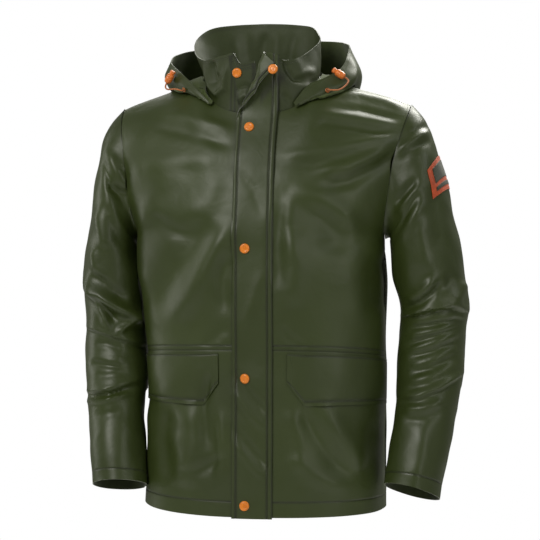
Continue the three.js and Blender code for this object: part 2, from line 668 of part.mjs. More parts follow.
function stormFlapPoint(x, s) {
  const fromFoot = new THREE.Vector2(x - FOLD_FOOT.x, s - FOLD_FOOT.s);
  const along = fromFoot.dot(foldWay);
  const beyond = fromFoot.x * foldWay.y - fromFoot.y * foldWay.x;
  if (beyond <= 0) return laidFront(x, s, flapLift(s)).point;
  const angle = Math.min(beyond / FOLD_RADIUS, radians(FOLD_ANGLE));
  const straight = Math.max(beyond - FOLD_RADIUS * radians(FOLD_ANGLE), 0);
  const inPlane = FOLD_RADIUS * Math.sin(angle) + straight * Math.cos(angle);
  const height = FOLD_RADIUS * (1 - Math.cos(angle)) + straight * Math.sin(angle);
  const px = FOLD_FOOT.x + foldWay.x * along + foldWay.y * inPlane;
  const ps = FOLD_FOOT.s + foldWay.y * along - foldWay.x * inPlane;
  return laidFront(px, ps, flapLift(s) + height).point;
}

const flapStops = [[FLAP_TOP_S, 18], [FLAP_ROLL_END, 8], [ARMHOLE_END, 4], [POCKET_SEAM, 4], [HEM, 0]];
const flapRows = rowsThrough(flapStops);
const flapGrid = [];
for (let i = 0; i <= FLAP_COLUMNS; i += 1) {
  flapGrid.push(flapRows.map((s) => {
    const freeX = mix(FLAP_TOP_FREE_X, FLAP_FREE_X, smooth(FLAP_TOP_S, 20, s));
    const x = mix(FLAP_SEAM_X, freeX, i / FLAP_COLUMNS);
    const point = stormFlapPoint(x, s);
    if (s === HEM) point.z -= FLAP_HANG;
    return point;
  }));
}
addPiece('storm_flap', wallGeometry(flapGrid, WALL, false), COLOURS.cloth);

// Chin tab under the storm flap
const tabGrid = gridOf(6, 12, (a, b) => {
  const s = mix(TAB_TOP_S, TAB_END_S, b);
  const freeX = mix(TAB_TOP_X, TAB_FREE_X + 2, smooth(TAB_TOP_S, 0, s));
  return laidFront(mix(TAB_INNER_X, freeX, a), s, TAB_LAY + WALL).point;
});
addPiece('under_flap', wallGeometry(tabGrid, WALL, false), COLOURS.cloth);

// Pocket flaps lie on the lower fronts
function laidBody(side, u, s, height) {
  const point = bodyPoint('front', side, u, s);
  const next = bodyPoint('front', side, Math.min(u + 0.01, 1), s);
  const across = next.sub(bodyPoint('front', side, u - 0.01, s));
  const down = bodyPoint('front', side, u, s + 4).sub(bodyPoint('front', side, u, s - 4));
  const normal = down.cross(across).normalize().multiplyScalar(side);
  return point.addScaledVector(normal, height);
}

function shareAtX(side, x, s) {
  let low = 0;
  let high = 1;
  for (let k = 0; k < 24; k += 1) {
    const middle = (low + high) / 2;
    if (bodyPoint('front', side, middle, s).x * side < x) low = middle;
    else high = middle;
  }
  return (low + high) / 2;
}

function addPocketFlap(name, side) {
  const start = POCKET_SEAM + POCKET_FLAP_START;
  const innerShare = shareAtX(side, POCKET_FLAP_INNER_X, start);
  const cornerShare = shareAtX(side, POCKET_FLAP_CORNER_X, start);
  const shares = [innerShare, mix(innerShare, cornerShare, 0.5)];
  for (let i = 0; i <= 7; i += 1) shares.push(mix(cornerShare, POCKET_FLAP_SIDE_SHARE, i / 7));
  const depthAt = (u) => (u < cornerShare
    ? mix(POCKET_FLAP_INNER_DEPTH, POCKET_FLAP_CORNER_DEPTH, (u - innerShare) / (cornerShare - innerShare))
    : mix(POCKET_FLAP_CORNER_DEPTH, POCKET_FLAP_SIDE_DEPTH,
      (u - cornerShare) / (POCKET_FLAP_SIDE_SHARE - cornerShare)));
  const grid = shares.map((u) => {
    const column = [];
    for (let j = 0; j <= 4; j += 1) {
      column.push(laidBody(side, u, start + depthAt(u) * j / 4, POCKET_LAY + WALL));
    }
    return column;
  });
  if (side === 1) grid.reverse();
  addPiece(name, wallGeometry(grid, WALL, false), COLOURS.cloth);
}

addPocketFlap('pocket_flap_left', 1);
addPocketFlap('pocket_flap_right', -1);

// Round fittings: turned profiles set square to the cloth they sit on
const SNAP_PROFILE = [[0, 0], [1, 0], [1, 0.35], [0.86, 0.82], [0.62, 1], [0.5, 0.8], [0, 0.74]];
const EYELET_PROFILE = [[EYELET_HOLE, 0], [EYELET_RADIUS, 0], [EYELET_RADIUS * 0.92, EYELET_HEIGHT * 0.8],
  [(EYELET_RADIUS + EYELET_HOLE) / 2, EYELET_HEIGHT], [EYELET_HOLE, EYELET_HEIGHT * 0.7], [EYELET_HOLE, 0]];

function addTurned(name, profile, sides, seat, normal, colour) {
  const geometry = new THREE.LatheGeometry(profile.map(([r, h]) => new THREE.Vector2(r, h)), sides);
  const piece = addPiece(name, geometry, colour, 0.35);
  piece.quaternion.setFromUnitVectors(vec(0, 1, 0), normal);
  piece.position.copy(seat).addScaledVector(normal, LAY_GAP);
  return piece;
}

const snapProfile = SNAP_PROFILE.map(([r, h]) => [r * SNAP_RADIUS, h * SNAP_HEIGHT]);
const tabSeat = laidFront(TAB_SNAP.x, TAB_SNAP.s, TAB_LAY + WALL);
addTurned('snap_1', snapProfile, FITTING_SIDES, tabSeat.point, tabSeat.normal, COLOURS.orange);

const cornerX = FOLD_FOOT.x + foldWay.x * CORNER_SNAP.along + foldWay.y * CORNER_SNAP.beyond;
const cornerS = FOLD_FOOT.s + foldWay.y * CORNER_SNAP.along - foldWay.x * CORNER_SNAP.beyond;
const cornerSeat = stormFlapPoint(cornerX, cornerS);
const cornerNormal = stormFlapPoint(cornerX + 3, cornerS).sub(stormFlapPoint(cornerX - 3, cornerS))
  .cross(stormFlapPoint(cornerX, cornerS + 3).sub(stormFlapPoint(cornerX, cornerS - 3))).normalize();
if (cornerNormal.y > 0) cornerNormal.negate();
cornerSeat.addScaledVector(cornerNormal, WALL);
addTurned('snap_2', snapProfile, FITTING_SIDES, cornerSeat, cornerNormal, COLOURS.orange);

FLAP_SNAPS.forEach((place, k) => {
  const seat = laidFront(place.x, place.s, flapLift(place.s));
  addTurned(`snap_${k + 3}`, snapProfile, FITTING_SIDES, seat.point, seat.normal, COLOURS.orange);
});

// Hood cords: each leaves its eyelet, bends up and ends in its cord lock
function hoodSeat(side, x, z) {
  let best = { miss: Infinity };
  for (let i = 0; i <= 60; i += 1) {
    for (let j = 0; j <= 60; j += 1) {
      const turn = side * mix(0.42, 0.72, i / 60);
      const share = mix(0.55, 0.99, j / 60);
      const seat = hoodPoint(turn, share);
      const miss = Math.hypot(seat.x - x, seat.z - z) + Math.max(seat.y, 0);
      if (miss < best.miss) best = { miss, turn, share, seat };
    }
  }
  const { turn, share, seat } = best;
  const along = hoodPoint(turn + 0.01, share).sub(hoodPoint(turn - 0.01, share));
  const up = hoodPoint(turn, share + 0.02).sub(hoodPoint(turn, share - 0.02));
  const normal = along.cross(up).normalize();
  if (normal.y > 0) normal.negate();
  return { seat, normal };
}

const CORD_ROUTES = {
  left: [[114.3, -59.2, -31], [117.6, -64.4, -30.4], [123.5, -67.5, -31], [131, -66, -31],
    [138, -61, -28.5], [143.5, -54.5, -23.5], [147.8, -48.5, -17.5], [148.4, -44.6, -12.8],
    [146.2, -43.3, -9.9], [142.4, -43.2, -7.4]],
  right: [[-132.9, -53.3, -25.2], [-136.6, -57.2, -27], [-142, -58.8, -25.6], [-149, -56, -24.2],
    [-156, -51.5, -24], [-163.5, -46, -23.5], [-168, -41, -20.8], [-169.2, -38, -16.5],
    [-167.7, -37.2, -12.2]],
};
const LOCK_PROFILE = [[0, 0], [0.6, 0], [0.72, 0.06], [0.72, 0.2], [0.55, 0.26], [0.9, 0.34], [1, 0.5],
  [1, 0.72], [0.85, 0.92], [0.5, 1], [0, 1]];
for (const [name, side] of [['left', 1], ['right', -1]]) {
  const place = HOOD_CORDS[name];
  const eyelet = hoodSeat(side, place.eyelet.x, place.eyelet.z);
  const lock = hoodSeat(side, place.lock.x, place.lock.z);
  eyelet.seat.addScaledVector(eyelet.normal, EYELET_LAY);
  addTurned(`eyelet_${name}`, EYELET_PROFILE, FITTING_SIDES, eyelet.seat, eyelet.normal, COLOURS.eyelet);
  const lockMiddle = lock.seat.clone().addScaledVector(lock.normal, LOCK_RADIUS + LOCK_LAY);
  const lockWay = vec(...place.way).normalize();
  lockWay.addScaledVector(lock.normal, -lockWay.dot(lock.normal)).normalize();
  const lockShape = new THREE.LatheGeometry(LOCK_PROFILE.map(([r, h]) => new THREE.Vector2(r * LOCK_RADIUS,
    (h - 0.5) * LOCK_LENGTH)), FITTING_SIDES);
  const lockPiece = addPiece(`cord_lock_${name}`, lockShape, COLOURS.orange, 0.4);
  lockPiece.quaternion.setFromUnitVectors(vec(0, 1, 0), lockWay);
  lockPiece.position.copy(lockMiddle);
  const section = new THREE.Shape().absarc(0, 0, CORD_RADIUS, 0, radians(360));
  const route = new THREE.CatmullRomCurve3(CORD_ROUTES[name].map((p) => vec(...p)));
  const sweep = { steps: CORD_STEPS, curveSegments: 4, extrudePath: route };
  const cord = new THREE.ExtrudeGeometry(section, sweep);
  addPiece(`hood_cord_${name}`, cord, COLOURS.cord, 0.7);
}

// Plain patch on the outer front of the wearer's left sleeve
const patchGrid = gridOf(8, 4, (a, b) => {
  const around = mix(PATCH_SPAN.from, PATCH_SPAN.to, a);
  const s = mix(PATCH_SPAN.top, PATCH_SPAN.bottom, b);
  const at = (da, ds) => sleevePoint(1, SLEEVE_LEFT_SECTIONS, SLEEVE_LEFT_FOLDS,
    (around + da + 1) % 1, s + ds);
  const normal = at(0.01, 0).sub(at(-0.01, 0)).cross(at(0, 4).sub(at(0, -4))).normalize();
  return at(0, 0).addScaledVector(normal, PATCH_LAY + PATCH_WALL);
});
patchGrid.reverse();
addPiece('sleeve_patch', wallGeometry(patchGrid, PATCH_WALL, false), COLOURS.patch);

export default raincoat;
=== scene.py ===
import math

import bpy
import numpy as np
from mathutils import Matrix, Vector
from mathutils.kdtree import KDTree


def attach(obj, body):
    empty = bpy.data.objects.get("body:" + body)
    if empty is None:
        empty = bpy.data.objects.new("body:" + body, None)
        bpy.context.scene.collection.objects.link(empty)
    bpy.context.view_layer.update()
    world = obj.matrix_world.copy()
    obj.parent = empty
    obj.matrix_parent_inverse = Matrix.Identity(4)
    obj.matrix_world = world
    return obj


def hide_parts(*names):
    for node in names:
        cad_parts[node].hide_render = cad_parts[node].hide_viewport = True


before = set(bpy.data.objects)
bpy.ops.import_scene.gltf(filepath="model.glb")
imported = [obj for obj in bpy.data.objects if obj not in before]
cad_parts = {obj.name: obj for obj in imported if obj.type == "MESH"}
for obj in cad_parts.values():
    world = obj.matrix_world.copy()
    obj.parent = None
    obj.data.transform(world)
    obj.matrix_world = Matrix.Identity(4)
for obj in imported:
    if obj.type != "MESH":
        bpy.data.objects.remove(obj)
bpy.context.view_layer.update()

# The coat is worked out in millimetres, as its parts are, and placed in metres.
MM = 0.001

# Camera, in metres

CAMERA_TURN = math.radians(9)
CAMERA_DISTANCE = 3.2
CAMERA_HEIGHT = -0.334
CAMERA_ASIDE = 0.007
FRAME_WIDTH_AT_COAT = 0.934
SENSOR = 36.0
FARTHEST = 60

camera_data = bpy.data.cameras.new("camera")
camera = bpy.data.objects.new("camera", camera_data)
bpy.context.scene.collection.objects.link(camera)
camera_data.sensor_width = SENSOR
camera_data.lens = SENSOR * CAMERA_DISTANCE / FRAME_WIDTH_AT_COAT
camera_data.clip_end = FARTHEST
image_right = Vector((math.cos(CAMERA_TURN), math.sin(CAMERA_TURN), 0))
towards_camera = Vector((math.sin(CAMERA_TURN), -math.cos(CAMERA_TURN), 0))
in_plan = image_right * CAMERA_ASIDE + towards_camera * CAMERA_DISTANCE
camera.location = in_plan + Vector((0, 0, CAMERA_HEIGHT))
camera.rotation_euler = (math.pi / 2, 0, CAMERA_TURN)
bpy.context.scene.camera = camera

# Sizes of the coat, in millimetres

WALL = 1.4
SEAM_GAP = 0.35
FLAP_LAY = 0.9
POCKET_LAY = 1.3
TAB_LAY = 0.45
BODY_CLEAR = 3
SLEEVE_FREE_Z = -292
NECK_HALF_WIDTH = 98
NECK_FRONT_Y = -88
NECK_FRONT_Z = -70
NECK_BACK_Y = 75
NECK_BACK_Z = 15
NECK_SHIFT_X = -4
NECK_SHARE = 5 / 12
BACK_SHARE = 0.47
NECK_ROUNDING = 0.8
NECK_RISE = 0.92
# Way of the cloth at its top edge: lean towards the side, then y and z at the neck and at the shoulder
TOP_LEAN = 0.04
TOP_WAY_Y = (0.35, 0.95)
TOP_WAY_Z = (0.94, 0.32)
SHOULDER = (250, 4, -52)
ARMHOLE_END = 256
ARMHOLE_ROW = 3
ARMHOLE_CORNER = (0.55, 1)
ARMHOLE_GAP = 1.3 * SEAM_GAP
POCKET_SEAM = 444
HEM = 716
SIDE_DROP = 6
SECTION_POWER = 2 / 2.4
FLAP_FREE_X = -34
FLAP_SEAM_X = 34
FLAP_TOP_FREE_X = -24
FLAP_TOP_S = -96
FLAP_TAPER_END = 20
FLAP_HANG = 2
FOLD_FOOT = (-31, 17)
FOLD_TOP = (17, -96)
FOLD_RADIUS = 5
FOLD_ANGLE = math.radians(158)
COLLAR_HEIGHT = 92
NECK_EASE = 14
NECK_EASE_END = (30, 90)
TAB_TOP_S = -88
TAB_END_S = 110
TAB_TOP_X = -48
TAB_FREE_X = -34
TAB_INNER_X = -3
TAB_FOOT_X = TAB_FREE_X + 2
TAB_FADE = 40
POCKET_FLAP_START = 5
POCKET_FLAP_INNER_X = 58
POCKET_FLAP_CORNER_X = 86
POCKET_FLAP_INNER_DEPTH = 50
POCKET_FLAP_CORNER_DEPTH = 86
POCKET_FLAP_SIDE_DEPTH = 76
POCKET_FLAP_SIDE_SHARE = 0.97
SNAP_RADIUS = 8.3
SNAP_HEIGHT = 3.2
LAY_GAP = 0.35
EYELET_RADIUS = 4.2
EYELET_HOLE = 2.2
EYELET_HEIGHT = 1.4
CORD_RADIUS = 1.4
LOCK_RADIUS = 6.5
LOCK_LENGTH = 24
PATCH_WALL = 1
PATCH_LAY = 0.5
HOOD_LAY = 3.2
HOOD_STAND_OFF = 2.6
HOOD_FOOT_OUT = 3.4
HOOD_FOOT_UP = 2.4
HOOD_FOOT_SHARE = 0.12
CENTRE_SHARE = 0.00013
HALVINGS = 24
# Steps to both sides of a place when its normal is worked out
NEAR = 4
NEAR_SHARE = 0.01

# Sections of the body: distance down the cloth, half width, lean in x, height of the side, turned angle,
# then y, z and edge y of the front and of the back
BODY_SECTIONS = np.array([
    (150, 228, -6.5, -168, 52, -134, -198, -60, 122, -190, 66),
    (205, 220, -8, -230, 62, -142, -245, -54, 127, -240, 58),
    (236, 214, -7.5, -264, 74, -144, -268, -30, 128, -264, 34),
    (256, 213, -6.5, -279, 90, -145, -287, 0, 128, -284, 0),
    (318, 214, -5, -343, 90, -147, -347, 2, 126, -346, 2),
    (444, 205.5, 2, -479, 90, -143, -467, 3, 116, -470, 3),
    (574, 205, 3, -604, 90, -145, -598, 3, 118, -600, 3),
    (716, 208, 0, -732, 90, -148, -743, 2, 124, -742, 2),
], float)

# Sections of the sleeves: distance down, outer x and z, inner x and z, y, half depth, rise of the front edge
SLEEVE_LEFT_SECTIONS = np.array([
    (40, 283, -98, 214, -279, 3, 70, 0),
    (100, 303, -157, 215, -287, 2, 76, 0),
    (172, 322, -232, 216, -300, 1, 76, 0),
    (245, 339, -313, 220, -343, 0, 72, 0),
    (310, 349, -384, 231, -396, 2, 68, 0),
    (366, 344, -440, 231, -448, 2, 64, 4),
    (432, 341, -506, 228, -511, -12, 60, 8),
    (504, 331, -577, 227, -577, -36, 55, 12),
    (564, 319, -637, 218, -631, -54, 50, 13),
    (640, 306, -715, 213, -693, -73, 46, 14),
], float)
SLEEVE_RIGHT_SECTIONS = np.array([
    (40, 280, -90, 226, -281, 3, 70, 0),
    (100, 295, -155, 226, -291, 2, 76, 0),
    (172, 307, -235, 224, -308, 1, 76, 0),
    (245, 319, -313, 215, -343, 0, 72, 0),
    (310, 320, -376, 213, -392, 2, 68, 0),
    (366, 318, -440, 211, -446, 2, 64, 4),
    (432, 316, -506, 208, -507, -12, 60, 8),
    (504, 303, -583, 207, -580, -37, 55, 12),
    (564, 296, -638, 200, -634, -56, 51, 13),
    (640, 288, -702, 193, -699, -77, 46, 14),
], float)

# Top edge of the collar: turn from -1 at the wearer's right front round the back to 1, then x, y, z
COLLAR_TOP = np.array([
    (-1, -4, -94, 17), (-0.905, -33, -93, 18), (-0.88, -38, -93, 28), (-0.8, -60, -86, 28),
    (-0.64, -96, -58, 24), (-0.46, -126, 0, 47), (-0.32, -128, 40, 74), (-0.18, -104, 70, 95),
    (0, -20, 83, 102),
    (0.18, 66, 71, 95), (0.32, 86, 46, 79), (0.46, 92, 16, 62), (0.6, 81, -22, 42),
    (0.72, 66, -52, 27), (0.84, 44, -77, 20), (0.94, 22, -88, 27), (1, 4, -92, 28),
], float)

# Hood laid back: turn round the neck, then its lowest fold, its outer bulge and its rim
HOOD_SECTIONS = [
    (-0.735, (-82, -75, -56), (-86, -77, -53), (-86, -76, -49)),
    (-0.66, (-104, -66, -42), (-109, -68, -36), (-105, -68, -29)),
    (-0.58, (-128, -52, -31), (-135, -53, -18), (-130, -50, -5)),
    (-0.48, (-150, -32, -27), (-159, -31, -7), (-149, -32, 11)),
    (-0.38, (-166, 2, -22), (-180, 5, 3), (-168, -4, 29)),
    (-0.26, (-150, 66, -52), (-174, 68, -4), (-160, 44, 48)),
    (-0.13, (-92, 132, -104), (-122, 154, -44), (-106, 114, 66)),
    (0, (-4, 150, -132), (-4, 192, -62), (-6, 148, 78)),
    (0.13, (84, 132, -104), (110, 154, -46), (92, 118, 74)),
    (0.27, (136, 66, -54), (157, 68, -6), (134, 60, 62)),
    (0.4, (148, 2, -23), (161, 6, 1), (143, 16, 46)),
    (0.52, (141, -30, -33), (151, -28, -13), (134, -22, 12)),
    (0.63, (113, -53, -47), (121, -54, -30), (107, -50, -9)),
    (0.73, (84, -70, -55), (91, -72, -42), (79, -66, -25)),
    (0.788, (62, -80, -62), (64, -82, -58), (60, -81, -53)),
]

# Hood cords from the eyelet to the lock, then seats and ways of the fittings
CORD_ROUTES = {
    "left": [(114.3, -59.2, -31), (117.6, -64.4, -30.4), (123.5, -67.5, -31), (131, -66, -31),
             (138, -61, -28.5), (143.5, -54.5, -23.5), (147.8, -48.5, -17.5), (148.4, -44.6, -12.8),
             (146.2, -43.3, -9.9), (142.4, -43.2, -7.4)],
    "right": [(-132.9, -53.3, -25.2), (-136.6, -57.2, -27), (-142, -58.8, -25.6), (-149, -56, -24.2),
              (-156, -51.5, -24), (-163.5, -46, -23.5), (-168, -41, -20.8), (-169.2, -38, -16.5),
              (-167.7, -37.2, -12.2)],
}
EYELET_SEATS = {
    "left": ((114.6, -59.7, -30.9), (0.53, -0.83, 0.17)),
    "right": ((-133.3, -53.7, -25.4), (-0.63, -0.66, -0.40)),
}
LOCK_ENDS = {
    "left": ((142.1, -43.2, -7.2), (0.84, 0.02, -0.54)),
    "right": ((-167.5, -37.2, -11.8), (-0.53, 0.17, -0.83)),
}

# Small mathematics


def smooth(low, high, x):
    t = np.clip((np.asarray(x, float) - low) / (high - low), 0, 1)
    return t * t * (3 - 2 * t)


def mix(a, b, t):
    return a + (b - a) * t


def bell(distance, width):
    return np.exp(-((distance / width) ** 2))


def circle(sides):
    return np.arange(sides) * 2 * math.pi / sides


def unit(v):
    return v / np.maximum(np.linalg.norm(v, axis=-1, keepdims=True), 1e-9)


def hermite(p0, m0, p1, m1, t):
    t = t[..., None]
    return (p0 * (2 * t**3 - 3 * t**2 + 1) + m0 * (t**3 - 2 * t**2 + t)
            + p1 * (3 * t**2 - 2 * t**3) + m1 * (t**3 - t**2))


def curve_through(knots, points, s, first_slope=None, corner=None):
    """A smooth curve through points of shape (knots, places, 3), read at one value of s for each place.

    At a corner, a knot and a share for each place, the curve turns by that share."""
    points = np.broadcast_to(points, (points.shape[0], len(s), 3))
    knots = np.broadcast_to(np.asarray(knots, float).reshape(len(points), -1), points.shape[:2])
    spans = np.diff(knots, axis=0)
    chord = np.diff(points, axis=0) / spans[..., None]
    even = ((chord[:-1] * spans[1:, :, None] + chord[1:] * spans[:-1, :, None])
            / (spans[:-1] + spans[1:])[..., None])
    first = chord[:1] if first_slope is None else first_slope[None]
    ahead = np.concatenate([first, even, chord[-1:]])
    behind = ahead.copy()
    if corner is not None:
        k, share = corner
        ahead[k] = mix(even[k - 1], chord[k], share[:, None])
        behind[k] = mix(even[k - 1], chord[k - 1], share[:, None])
    i = np.sum(s[None] > knots[1:-1], axis=0)
    n = np.arange(len(s))
    span = spans[i, n]
    return hermite(points[i, n], ahead[i, n] * span[:, None], points[i + 1, n],
                   behind[i + 1, n] * span[:, None], (s - knots[i, n]) / span)


# Surfaces of the coat


def top_edge(front, side, u):
    angle = math.pi / 2 * np.minimum(u / NECK_SHARE, 1)
    reach = np.sin(angle) ** NECK_ROUNDING
    rest = np.maximum(np.cos(angle), 0)
    neck_y = (NECK_FRONT_Y if front else NECK_BACK_Y) * rest**NECK_ROUNDING
    neck_z = NECK_FRONT_Z * rest**NECK_RISE if front else NECK_BACK_Z * rest
    neck = np.stack([side * NECK_HALF_WIDTH * reach + NECK_SHIFT_X * reach, neck_y, neck_z], -1)
    t = (u - NECK_SHARE) / (1 - NECK_SHARE)
    start = side * NECK_HALF_WIDTH + NECK_SHIFT_X
    shoulder = np.stack([mix(start, side * SHOULDER[0], t), SHOULDER[1] * t, SHOULDER[2] * t], -1)
    return np.where((u <= NECK_SHARE)[:, None], neck, shoulder)


def section_point(front, side, u, row):
    s, wide, shift, side_z, sweep = row[:5]
    y, z, edge_y = row[5:8] if front else row[8:11]
    end = math.radians(sweep)
    angle = end * u
    reach = (np.sin(angle) / math.sin(end)) ** SECTION_POWER
    end_rest = max(math.cos(end), 0) ** SECTION_POWER
    rest = (np.maximum(np.cos(angle), 0) ** SECTION_POWER - end_rest) / (1 - end_rest)
    edge_z = side_z - side * SIDE_DROP * s / HEM
    return np.stack([(side * wide + shift) * reach, mix(edge_y, y, rest), mix(z, edge_z, u * u)], -1)


def body_point(front, side, u, s):
    side, u, s = (np.asarray(v, float) for v in np.broadcast_arrays(side, u, s))
    top = top_edge(front, side, u)
    rows = np.stack([section_point(front, side, u, row) for row in BODY_SECTIONS])
    knots = BODY_SECTIONS[:, 0]
    forward = -1 if front else 1
    over = smooth(0, NECK_SHARE, u)
    start_way = [TOP_LEAN * side * over, forward * mix(*TOP_WAY_Y, over), -mix(*TOP_WAY_Z, over)]
    start_way = unit(np.stack(start_way, -1))
    end_way = unit(rows[1] - rows[0])
    size = np.linalg.norm(rows[0] - top, axis=-1, keepdims=True)
    upper = hermite(top, start_way * size, rows[0], end_way * size, np.minimum(s / knots[0], 1))
    corner = (ARMHOLE_ROW, smooth(*ARMHOLE_CORNER, u))
    lower = curve_through(knots, rows, np.maximum(s, knots[0]), end_way, corner)
    return np.where((s < knots[0])[:, None], upper, lower)


def neck_point(turn):
    side = np.where(turn < 0, -1.0, 1.0)
    part = np.abs(turn)
    back = top_edge(False, side, NECK_SHARE * np.minimum(part / BACK_SHARE, 1))
    front = top_edge(True, side, NECK_SHARE * np.minimum((1 - part) / (1 - BACK_SHARE), 1))
    return np.where((part < BACK_SHARE)[:, None], back, front)


def collar_point(turn, v):
    turn, v = (np.asarray(x, float) for x in np.broadcast_arrays(turn, v))
    foot = neck_point(turn) + (0, 0, SEAM_GAP)
    top = curve_through(COLLAR_TOP[:, 0], COLLAR_TOP[:, None, 1:], turn)
    rise = np.linalg.norm(top - foot, axis=-1, keepdims=True)
    return hermite(foot, rise * np.array([0, 0, 1.0]), top, top - foot, v)


SAMPLE_SHARES = np.linspace(0.002, 0.999, 70)
SAMPLE_ROWS = np.linspace(1, HEM, 150)


def body_samples():
    u, s = (g.ravel() for g in np.meshgrid(SAMPLE_SHARES, SAMPLE_ROWS, indexing="ij"))
    places, normals = [], []
    for front in (True, False):
        for side in (-1, 1):
            p = body_point(front, side, u, s)
            beside = body_point(front, side, np.minimum(u + 0.001, 1), s)
            across = beside - body_point(front, side, u - 0.001, s)
            down = body_point(front, side, u, s + 1) - body_point(front, side, u, s - 1)
            places.append(p)
            normals.append(unit(np.cross(down, across)) * side * (1 if front else -1))
    return np.concatenate(places), np.concatenate(normals)


sample_places, sample_normals = body_samples()
sample_tree = KDTree(len(sample_places))
for k, place in enumerate(sample_places):
    sample_tree.insert(place, k)
sample_tree.balance()


def clear_of_body(points, clearance):
    """Points nearer to the body than the clearance are moved out to it."""
    clearance = np.broadcast_to(clearance, len(points))
    nearest = np.array([sample_tree.find(p)[1] for p in points])
    normal = sample_normals[nearest]
    height = np.sum((points - sample_places[nearest]) * normal, axis=-1)
    return points + normal * np.maximum(clearance - height, 0)[:, None]


def hood_point(turn, share):
    turn, share = (np.asarray(x, float) for x in np.broadcast_arrays(turn, share))
    knots = [row[0] for row in HOOD_SECTIONS]
    rows = np.array([row[1:] for row in HOOD_SECTIONS], float)
    guides = [curve_through(knots, rows[:, k, None], turn) for k in range(3)]
    foot = neck_point(turn)
    outward = unit((foot - (NECK_SHIFT_X, 0, 0)) * (1, 1, 0))
    foot = foot + outward * HOOD_FOOT_OUT + (0, 0, HOOD_FOOT_UP)
    points = np.stack([foot, *guides])
    lengths = np.cumsum(np.linalg.norm(np.diff(points, axis=0), axis=-1), axis=0)
    lengths = np.concatenate([np.zeros((1, len(turn))), lengths])
    surface = curve_through(lengths, points, share * lengths[-1])
    return clear_of_body(surface, HOOD_LAY + HOOD_STAND_OFF * smooth(0, HOOD_FOOT_SHARE, share))


def sleeve_point(side, sections, around, s):
    around, s = (np.asarray(x, float) for x in np.broadcast_arrays(around, s))
    around = around % 1
    angle = 2 * math.pi * around
    rings = []
    for _, ox, oz, ix, iz, y, deep, pitch in sections:
        middle = np.array([(ox + ix) / 2, y, (oz + iz) / 2])
        outward = np.array([(ox - ix) / 2, 0, (oz - iz) / 2])
        to_front = np.array([0, -deep, pitch])
        rings.append(middle + np.cos(angle)[:, None] * outward + np.sin(angle)[:, None] * to_front)
    rings = np.stack(rings) * (side, 1, 1)
    fall = ARMHOLE_END * np.where(around <= 0.5, around / 0.5, (1 - around) / 0.5)
    ones = np.ones_like(fall)
    front, back = (body_point(face, side, ones, fall) for face in (True, False))
    start = np.where((around <= 0.5)[:, None], front, back)
    points = np.concatenate([(start + (side * ARMHOLE_GAP, 0, 0))[None], rings])
    return curve_through(np.concatenate([[0], sections[:, 0]]), points, s)


# Centre front: one table of the fronts and the collar by x and s, eased over the neck seam

WIDEST_COLLAR_SHARE = 0.5
WIDEST_FRONT_SHARE = 0.6
CENTRE_X = np.arange(-66, 67, 3.0)
CENTRE_S = np.arange(-130, 741, 3.0)


def centre_table():
    x, s = (g.ravel() for g in np.meshgrid(CENTRE_X, CENTRE_S, indexing="ij"))
    side = np.where(x < 0, -1.0, 1.0)
    low = np.zeros_like(x)
    high = np.where(s < 0, WIDEST_COLLAR_SHARE, WIDEST_FRONT_SHARE)

    def at(share):
        up = collar_point(side * (1 - share), np.maximum(-s, 0) / COLLAR_HEIGHT)
        return np.where((s < 0)[:, None], up, body_point(True, side, share, np.maximum(s, 0)))

    for _ in range(HALVINGS):
        middle = (low + high) / 2
        short = at(middle)[:, 0] * side < x * side
        low = np.where(short, middle, low)
        high = np.where(short, high, middle)
    points = at((low + high) / 2)
    points[:, 0] = x
    return points.reshape(len(CENTRE_X), len(CENTRE_S), 3)


def table_at(table, x, s):
    fx = np.clip((x - CENTRE_X[0]) / (CENTRE_X[1] - CENTRE_X[0]), 0, len(CENTRE_X) - 1.001)
    fs = np.clip((s - CENTRE_S[0]) / (CENTRE_S[1] - CENTRE_S[0]), 0, len(CENTRE_S) - 1.001)
    i, j = fx.astype(int), fs.astype(int)
    a, b = (fx - i)[:, None], (fs - j)[:, None]
    return mix(mix(table[i, j], table[i + 1, j], a), mix(table[i, j + 1], table[i + 1, j + 1], a), b)


raw_centre = centre_table()
grid_x, grid_s = (g.ravel() for g in np.meshgrid(CENTRE_X, CENTRE_S, indexing="ij"))
ease = NECK_EASE * (1 - smooth(*NECK_EASE_END, grid_s))
eased_rows = [table_at(raw_centre, grid_x, grid_s + step * ease) for step in np.linspace(-1, 1, 9)]
eased_centre = np.mean(eased_rows, axis=0).reshape(raw_centre.shape)


def laid_front(x, s, height):
    """Points at a height over the fronts, and their normals."""
    point = table_at(eased_centre, x, s)
    across = table_at(eased_centre, x + NEAR, s) - table_at(eased_centre, x - NEAR, s)
    down = table_at(eased_centre, x, s + NEAR) - table_at(eased_centre, x, s - NEAR)
    normal = unit(np.cross(down, across))
    return point + normal * np.asarray(height)[..., None], normal


fold_way = np.array([FOLD_TOP[0] - FOLD_FOOT[0], FOLD_TOP[1] - FOLD_FOOT[1]], float)
fold_way /= np.linalg.norm(fold_way)


def flap_lift(s):
    return (FLAP_LAY + WALL) * (2 - smooth(TAB_END_S, TAB_END_S + TAB_FADE, s))


